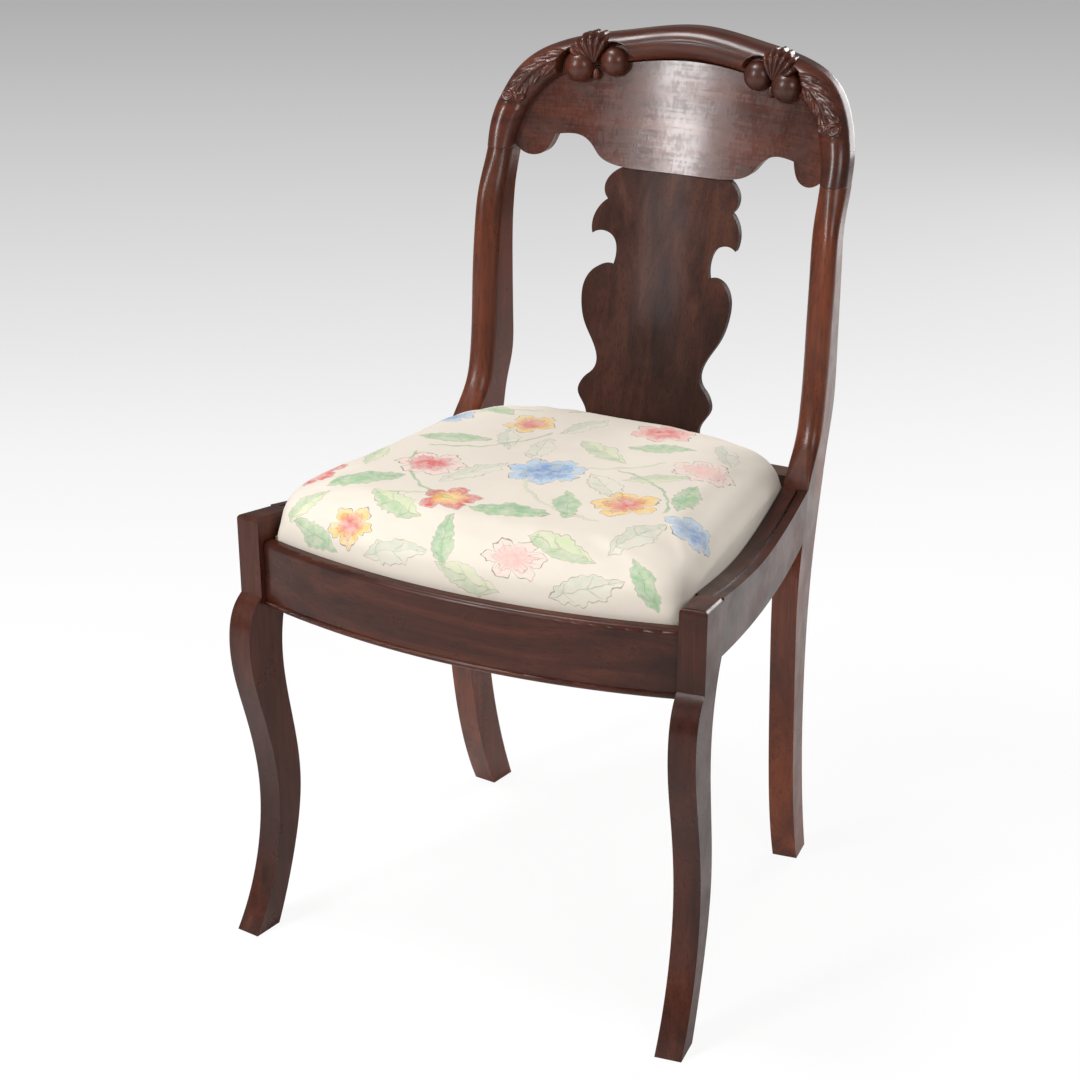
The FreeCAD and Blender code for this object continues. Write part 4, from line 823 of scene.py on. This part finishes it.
def shell(made, side, lobes):
    """A fan of fluted lobes that spring from between the balls."""
    first = math.radians(24)
    last = math.radians(122)
    fine = 10
    columns = lobes * fine + 1
    rows = []
    backs = []
    steps = 16
    for i in range(steps + 1):
        share = i / steps
        row = []
        back = []
        for j in range(columns):
            place = j / fine
            angle = first + (last - first) * j / (columns - 1)
            inside = place - math.floor(min(place, lobes - 1e-6))
            flute = abs(math.sin(math.pi * inside)) ** 0.7
            reach = 27.0 + 3.2 * flute - 3.5 * (abs(j / (columns - 1) - 0.45) * 2) ** 2.2
            radius = 1.5 + share * reach
            x = SHELL_ROOT[0] + radius * math.cos(angle)
            z = SHELL_ROOT[1] + radius * math.sin(angle)
            swell = math.sin(math.pi * min(1.0, share * 0.62 + 0.12))
            depth = -7.0 - 6.5 * swell - 3.4 * flute * min(1.0, share * 1.6)
            depth += 7.0 * (max(0.0, share - 0.8) / 0.2) ** 2
            row.append(made.verts.new(mm(side * x, face_y(x, z, depth), z)))
            back.append(made.verts.new(mm(side * x, face_y(x, z, 3.0), z)))
        rows.append(row)
        backs.append(back)
    grid_faces(made, rows)
    grid_faces(made, backs)
    for front, rear in ((rows[0], backs[0]), (rows[-1], backs[-1])):
        grid_faces(made, [front, rear])
    grid_faces(made, [[r[0] for r in rows], [r[0] for r in backs]])
    grid_faces(made, [[r[-1] for r in rows], [r[-1] for r in backs]])


# Seat cushion: a crowned pad, swollen by a short cloth simulation

SPLAY = math.tan(math.radians(7.28))
SEAT_HALF = 209.0
SEAT_BACK = 342.2
BOW_MIDDLE = 701.9
BOW_REACH = 717.1
SEAT_MIDDLE = np.array([0.0, 165.0])
# the cover is tacked below the first height, in metres, and is smoothed above the second
TACKED_BELOW = 0.404
SMOOTH_ABOVE = 0.406
# the cushion stands over the rails from this height; the print turns down at the next, near the edge
OVER_RAILS = 414.0
PRINT_TURNS = 446.0
PRINT_EDGE = 24.0


def soft_least(first, second, width):
    """The lesser of two distances, with the corner between them rounded."""
    blend = max(width - abs(first - second), 0.0) / width
    return min(first, second) - blend * blend * width / 4


def edge_gaps(x, y):
    """Distances of a place on the seat from its sides, back and front."""
    side = (SEAT_HALF - y * SPLAY - abs(x)) * math.cos(math.atan(SPLAY))
    back = SEAT_BACK - y
    front = BOW_REACH - math.hypot(x, BOW_MIDDLE - y)
    return side, back, front


# height of the cushion at a distance in from its edge, and how round its corners are at a height
TOP_GAPS = (0.0, 0.8, 2.5, 6.0, 12.0, 21.0, 36.0, 58.0, 92.0, 140.0)
TOP_HEIGHTS = (421.0, 428.0, 435.0, 441.5, 447.0, 451.0, 453.8, 455.5, 456.4, 457.0)
CORNER_HEIGHTS = (398.0, 410.0, 427.0, 441.0, 449.0, 453.0)
CORNER_WIDTHS = (10.0, 20.0, 30.0, 40.0, 48.0, 54.0)


def gap_inwards(x, y, height):
    """Distance in from the cushion's edge, its corners rounded as at a height."""
    side, back, front = edge_gaps(x, y)
    width = float(np.interp(height, CORNER_HEIGHTS, CORNER_WIDTHS))
    return soft_least(soft_least(side, front, width), back, width * 1.8)


def crown(x, y):
    """Height of the cushion's top at a place on the seat."""
    height = 440.0
    for _ in range(6):
        gap = gap_inwards(x, y, height)
        height = 0.5 * (height + float(np.interp(gap, TOP_GAPS, TOP_HEIGHTS)))
    return height


def drawn_in(x, y, height):
    """The cushion's outline at a height: a place on the sharp outline moved to the rounded one."""
    place = np.array([x, y])
    way = (SEAT_MIDDLE - place) / np.linalg.norm(SEAT_MIDDLE - place)
    for _ in range(8):
        gap = gap_inwards(*place, height)
        place = place - way * gap if abs(gap) > 0.02 else place
    return place


def seat_edge(count):
    """The seat's outline, seen from above, as evenly spread points."""
    corner_y = 14.0
    for _ in range(8):
        corner_x = SEAT_HALF - corner_y * SPLAY
        corner_y = BOW_MIDDLE - math.sqrt(BOW_REACH**2 - corner_x**2)
    back_x = SEAT_HALF - SEAT_BACK * SPLAY
    line = []
    for i in range(60):
        x = -corner_x + 2 * corner_x * i / 60
        line.append((x, BOW_MIDDLE - math.sqrt(BOW_REACH**2 - x * x)))
    corners = [(corner_x, corner_y), (back_x, SEAT_BACK), (-back_x, SEAT_BACK), (-corner_x, corner_y)]
    for (x0, y0), (x1, y1) in zip(corners, corners[1:]):
        for i in range(60):
            line.append((x0 + (x1 - x0) * i / 60, y0 + (y1 - y0) * i / 60))
    data = np.array(line + [line[0]])
    length = np.concatenate([[0.0], np.cumsum(np.linalg.norm(np.diff(data, axis=0), axis=1))])
    even = np.linspace(0, length[-1], count, endpoint=False)
    return np.stack([np.interp(even, length, data[:, 0]), np.interp(even, length, data[:, 1])], -1)


def cushion_mesh():
    """The cushion before it is swollen: a wall round the seat and rings that close over the top."""
    made = bmesh.new()
    edge = seat_edge(240)
    rows = []
    for height in (378.7, 386.0, 393.0, 399.0, 405.0, 411.0, 417.0):
        level = [drawn_in(x, y, height) for x, y in edge]
        rows.append([made.verts.new(mm(x, y - SETBACK, height)) for x, y in level])
    rim = np.array([drawn_in(x, y, TOP_HEIGHTS[0]) for x, y in edge])
    steps = 46
    for i in range(steps):
        share = 1 - (i / steps) ** 1.9
        ring = SEAT_MIDDLE + (rim - SEAT_MIDDLE) * share
        rows.append([made.verts.new(mm(x, y - SETBACK, crown(x, y))) for x, y in ring])
    grid_faces(made, rows, close_columns=True)
    bmesh.ops.holes_fill(made, edges=[e for e in made.edges if e.is_boundary], sides=0)
    lids = [f for f in made.faces if len(f.verts) > 4]
    bmesh.ops.poke(made, faces=lids)
    return finished(made, "seat_cushion")


def swell(cushion, pressure, limit):
    """Puff the cushion up a little as stretched cloth, holding its tacked lower edge."""
    rest = [v.co.copy() for v in cushion.data.vertices]
    held = cushion.vertex_groups.new(name="held")
    for vertex in cushion.data.vertices:
        if vertex.co.z < TACKED_BELOW:
            held.add([vertex.index], 1.0, "REPLACE")
    cloth = cushion.modifiers.new("cloth", "CLOTH")
    cloth.settings.use_pressure = True
    cloth.settings.uniform_pressure_force = pressure
    cloth.settings.tension_stiffness = 22.0
    cloth.settings.compression_stiffness = 22.0
    cloth.settings.bending_stiffness = 4.0
    cloth.settings.vertex_group_mass = "held"
    cloth.settings.effector_weights.gravity = 0.0
    scene = bpy.context.scene
    for number in range(1, 21):
        scene.frame_set(number)
        bpy.context.view_layer.update()
    evaluated = cushion.evaluated_get(bpy.context.evaluated_depsgraph_get())
    puffed = [v.co.copy() for v in evaluated.data.vertices]
    cushion.modifiers.remove(cloth)
    cushion.vertex_groups.remove(held)
    scene.frame_set(1)
    for vertex, before, after in zip(cushion.data.vertices, rest, puffed):
        move = after - before
        if move.length > limit:
            move *= limit / move.length
        vertex.co = before + move


def keep_in_frame(cushion):
    """Keep the cushion's lower part inside the rails round it, and record how the print lies on it."""
    mesh = cushion.data
    made = bmesh.new()
    made.from_mesh(mesh)
    for _ in range(5):
        free = [v for v in made.verts if v.co.z > SMOOTH_ABOVE]
        bmesh.ops.smooth_vert(
            made, verts=free, factor=0.5, use_axis_x=True, use_axis_y=True, use_axis_z=True,
        )
    made.to_mesh(mesh)
    made.free()
    lay = mesh.attributes.new("print_place", "FLOAT_VECTOR", "POINT")
    for vertex in mesh.vertices:
        x, y, z = vertex.co * 1000
        y += SETBACK
        side, back, front = edge_gaps(x, y)
        over = 0.0 if z < OVER_RAILS else min(2.5, (z - OVER_RAILS) * 0.25)
        if side < -over:
            x = math.copysign(abs(x) + side + over, x)
        if front < -over:
            y -= front + over
        if back < -over:
            y += back + over
        vertex.co = mm(x, y - SETBACK, z)
        drop = max(0.0, PRINT_TURNS - z)
        least = min(side, back, front)
        along = Vector((0.0, 0.0))
        if least == side:
            along.x = math.copysign(1.0, x)
        elif least == back:
            along.y = 1.0
        else:
            along.y = -1.0
        turned = drop if least < PRINT_EDGE else 0.0
        lay.data[vertex.index].vector = (
            (x + along.x * turned) * 0.001, (y + along.y * turned) * 0.001, 0.0,
        )


def make_cushion(seat):
    """The stuffed seat in its printed cover."""
    cushion = cushion_mesh()
    swell(cushion, seat.pressure, seat.swell)
    keep_in_frame(cushion)
    finer = cushion.modifiers.new("finer", "SUBSURF")
    finer.levels = 1
    finer.render_levels = 1
    clothe(cushion, MATERIALS["print"])
    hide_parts("seat_cover", "seat_stuffing")
    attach(cushion, "slip_seat")


# Stage: pale floor, soft light and the photo's view


# distance behind the chair as a share of 6 m, and how pale the floor is painted there: its fade to grey
# behind the chair is painted shade, standing in for light that falls off away from the chair
FLOOR_SHADES = (
    (0.065, 1.0), (0.113, 0.99), (0.141, 0.971), (0.205, 0.922), (0.287, 0.83), (0.392, 0.737),
    (0.532, 0.639), (0.707, 0.533), (0.85, 0.467),
)
# share of the floor's painted tone that the camera sees as glow, without shadows: painted light
FLOOR_GLOW = 0.9
# direction behind the chair along the view, across and back
VIEW_WAY = (0.475, 0.88)
# the photo's view, in degrees
AZIMUTH = 28.341
ELEVATION = 22.337
ROLL = -0.154
# place, aim, size and watts of each lamp
LAMPS = (
    ("key", (-1.3, -2.6, 1.75), (0, 0, 0.6), (0.55, 1.3), 50.0),
    ("top", (-0.8, -0.5, 2.7), (0, 0, 0.6), (0.7, 0.7), 36.0),
    ("fill", (2.3, -2.0, 1.9), (0, 0, 0.4), (1.2, 1.2), 26.0),
    ("back", (0.7, 3.0, 1.1), (0, 0, 0.5), (1.6, 1.6), 60.0),
)


def make_room(scene, strength):
    """Even light all round, and a grey room behind the floor."""
    world = bpy.data.worlds.new("studio")
    scene.world = world
    world.use_nodes = True
    nodes = world.node_tree.nodes
    links = world.node_tree.links
    nodes.clear()
    out = nodes.new("ShaderNodeOutputWorld")
    backdrop = nodes.new("ShaderNodeBackground")
    light = nodes.new("ShaderNodeBackground")
    mix = nodes.new("ShaderNodeMixShader")
    path = nodes.new("ShaderNodeLightPath")
    light.inputs["Color"].default_value = (1.0, 0.99, 0.97, 1.0)
    light.inputs["Strength"].default_value = strength
    backdrop.inputs["Color"].default_value = (0.8, 0.8, 0.8, 1.0)
    links.new(path.outputs["Is Camera Ray"], mix.inputs["Fac"])
    links.new(light.outputs["Background"], mix.inputs[1])
    links.new(backdrop.outputs["Background"], mix.inputs[2])
    links.new(mix.outputs["Shader"], out.inputs["Surface"])


def make_floor(scene):
    """A wide pale floor whose painted shade fades to grey behind the chair, seen by the camera as glow."""
    mesh = bpy.data.meshes.new("floor")
    made = bmesh.new()
    bmesh.ops.create_grid(made, x_segments=1, y_segments=1, size=8.0)
    made.to_mesh(mesh)
    made.free()
    floor = bpy.data.objects.new("floor", mesh)
    floor.location = (0.0, 0.0, -0.0005)
    scene.collection.objects.link(floor)
    graph = Graph("floor")
    x, y, _ = graph.split(graph.place())
    away = (y * VIEW_WAY[1] - x * VIEW_WAY[0]) / 6.0
    # painted shade: the floor's tone darkens to grey with distance behind the chair
    shade = graph.ramp(away, [(level, (tone, tone, tone)) for level, tone in FLOOR_SHADES])
    graph.surface(Base_Color=shade, Roughness=0.9, Specular_IOR_Level=0.1)
    # painted light: the floor glows with its painted tone for camera rays, so its shadows nearly vanish
    glow = graph.node("ShaderNodeEmission", "Emission", Color=shade)
    path = graph.tree.nodes.new("ShaderNodeLightPath")
    mixed = graph.tree.nodes.new("ShaderNodeMixShader")
    seen = Wire(graph, path.outputs["Is Camera Ray"]) * FLOOR_GLOW
    graph.put(mixed.inputs["Fac"], seen)
    graph.tree.links.new(graph.shader.outputs["BSDF"], mixed.inputs[1])
    graph.tree.links.new(glow.socket, mixed.inputs[2])
    graph.tree.links.new(mixed.outputs["Shader"], graph.out.inputs["Surface"])
    floor.data.materials.append(graph.material)
    floor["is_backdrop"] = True


def make_lamps(scene, power_share):
    """The soft lamps round the chair."""
    for name, place, aim, size, power in LAMPS:
        data = bpy.data.lights.new(name, "AREA")
        data.shape = "RECTANGLE"
        data.size, data.size_y = size
        data.energy = power * power_share
        lamp = bpy.data.objects.new(name, data)
        lamp.location = place
        lamp.rotation_euler = (Vector(aim) - Vector(place)).to_track_quat("-Z", "Y").to_euler()
        scene.collection.objects.link(lamp)
        lamp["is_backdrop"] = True


def make_camera(scene, lens, place):
    """The camera at the photo's place, level but for a slight roll."""
    data = bpy.data.cameras.new("photo_view")
    data.lens = lens
    data.sensor_width = 36.0
    camera = bpy.data.objects.new("photo_view", data)
    azimuth = math.radians(AZIMUTH)
    elevation = math.radians(ELEVATION)
    back = Vector((
        math.sin(azimuth) * math.cos(elevation),
        -math.cos(azimuth) * math.cos(elevation),
        math.sin(elevation),
    ))
    camera.location = place
    level = Vector((math.cos(azimuth), math.sin(azimuth), 0.0))
    roll = math.radians(ROLL)
    right = level * math.cos(roll) + back.cross(level) * math.sin(roll)
    camera.rotation_euler = Matrix((right, back.cross(right), back)).transposed().to_euler()
    scene.collection.objects.link(camera)
    scene.camera = camera


def make_stage(stage):
    scene = bpy.context.scene
    scene.view_settings.view_transform = "Standard"
    scene.view_settings.look = "None"
    make_room(scene, stage.room_light)
    make_floor(scene)
    make_lamps(scene, stage.lamp_light)
    make_camera(scene, stage.lens, stage.camera_place)


# Operators, panel and registration


class CHAIR_OT_finishes(bpy.types.Operator):
    """Make the finishes and put them on the frame's parts"""

    bl_idname = "chair.finishes"
    bl_label = "Finishes"

    def execute(self, context):
        make_materials(context.scene.chair_wood, context.scene.chair_seat)
        dress_cad()
        return {"FINISHED"}


class CHAIR_OT_crest(bpy.types.Operator):
    """Bend the crest's round moulding over the back and carve its leaves"""

    bl_idname = "chair.crest"
    bl_label = "Crest moulding"

    def execute(self, context):
        make_crest(context.scene.chair_crest)
        return {"FINISHED"}


class CHAIR_OT_carving(bpy.types.Operator):
    """Set the carved shells and balls on the crest"""

    bl_idname = "chair.carving"
    bl_label = "Shells and balls"

    def execute(self, context):
        make_carving(context.scene.chair_crest)
        return {"FINISHED"}


class CHAIR_OT_cushion(bpy.types.Operator):
    """Stuff the loose seat and cover it with printed cotton"""

    bl_idname = "chair.cushion"
    bl_label = "Seat cushion"

    def execute(self, context):
        make_cushion(context.scene.chair_seat)
        return {"FINISHED"}


class CHAIR_OT_stage(bpy.types.Operator):
    """Set up the floor, the lamps and the photo's view"""

    bl_idname = "chair.stage"
    bl_label = "Stage"

    def execute(self, context):
        make_stage(context.scene.chair_stage)
        return {"FINISHED"}


class CHAIR_PT_panel(bpy.types.Panel):
    """Pieces of the chair and the sizes that shape them"""

    bl_idname = "CHAIR_PT_panel"
    bl_label = "Balloon Back Chair"
    bl_space_type = "VIEW_3D"
    bl_region_type = "UI"
    bl_category = "Chair"

    def draw(self, context):
        scene = context.scene
        for group, operators in (
            (scene.chair_wood, (CHAIR_OT_finishes,)),
            (scene.chair_crest, (CHAIR_OT_crest, CHAIR_OT_carving)),
            (scene.chair_seat, (CHAIR_OT_cushion,)),
            (scene.chair_stage, (CHAIR_OT_stage,)),
        ):
            box = self.layout.box()
            for name in group.__annotations__:
                box.prop(group, name)
            for operator in operators:
                box.operator(operator.bl_idname)


GROUPS = {
    "chair_wood": ChairWood,
    "chair_crest": ChairCrest,
    "chair_seat": ChairSeat,
    "chair_stage": ChairStage,
}
CLASSES = (
    *GROUPS.values(), CHAIR_OT_finishes, CHAIR_OT_crest, CHAIR_OT_carving, CHAIR_OT_cushion,
    CHAIR_OT_stage, CHAIR_PT_panel,
)


def register():
    for made in CLASSES:
        bpy.utils.register_class(made)
    for name, group in GROUPS.items():
        setattr(bpy.types.Scene, name, bpy.props.PointerProperty(type=group))


def unregister():
    for name in GROUPS:
        delattr(bpy.types.Scene, name)
    for made in reversed(CLASSES):
        bpy.utils.unregister_class(made)


def plain(bounds):
    """Bounds as plain lists."""
    if isinstance(bounds, dict):
        return {key: plain(value) for key, value in bounds.items()}
    if isinstance(bounds, (list, tuple, Vector)):
        return [plain(value) for value in bounds]
    return bounds


def main():
    register()
    bpy.ops.chair.finishes()
    bpy.ops.chair.crest()
    bpy.ops.chair.carving()
    bpy.ops.chair.cushion()
    bpy.ops.chair.stage()
    {"frame": plain(FRAME_SIZE), "scene": plain(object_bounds())}


if __name__ == "__main__":
    main()
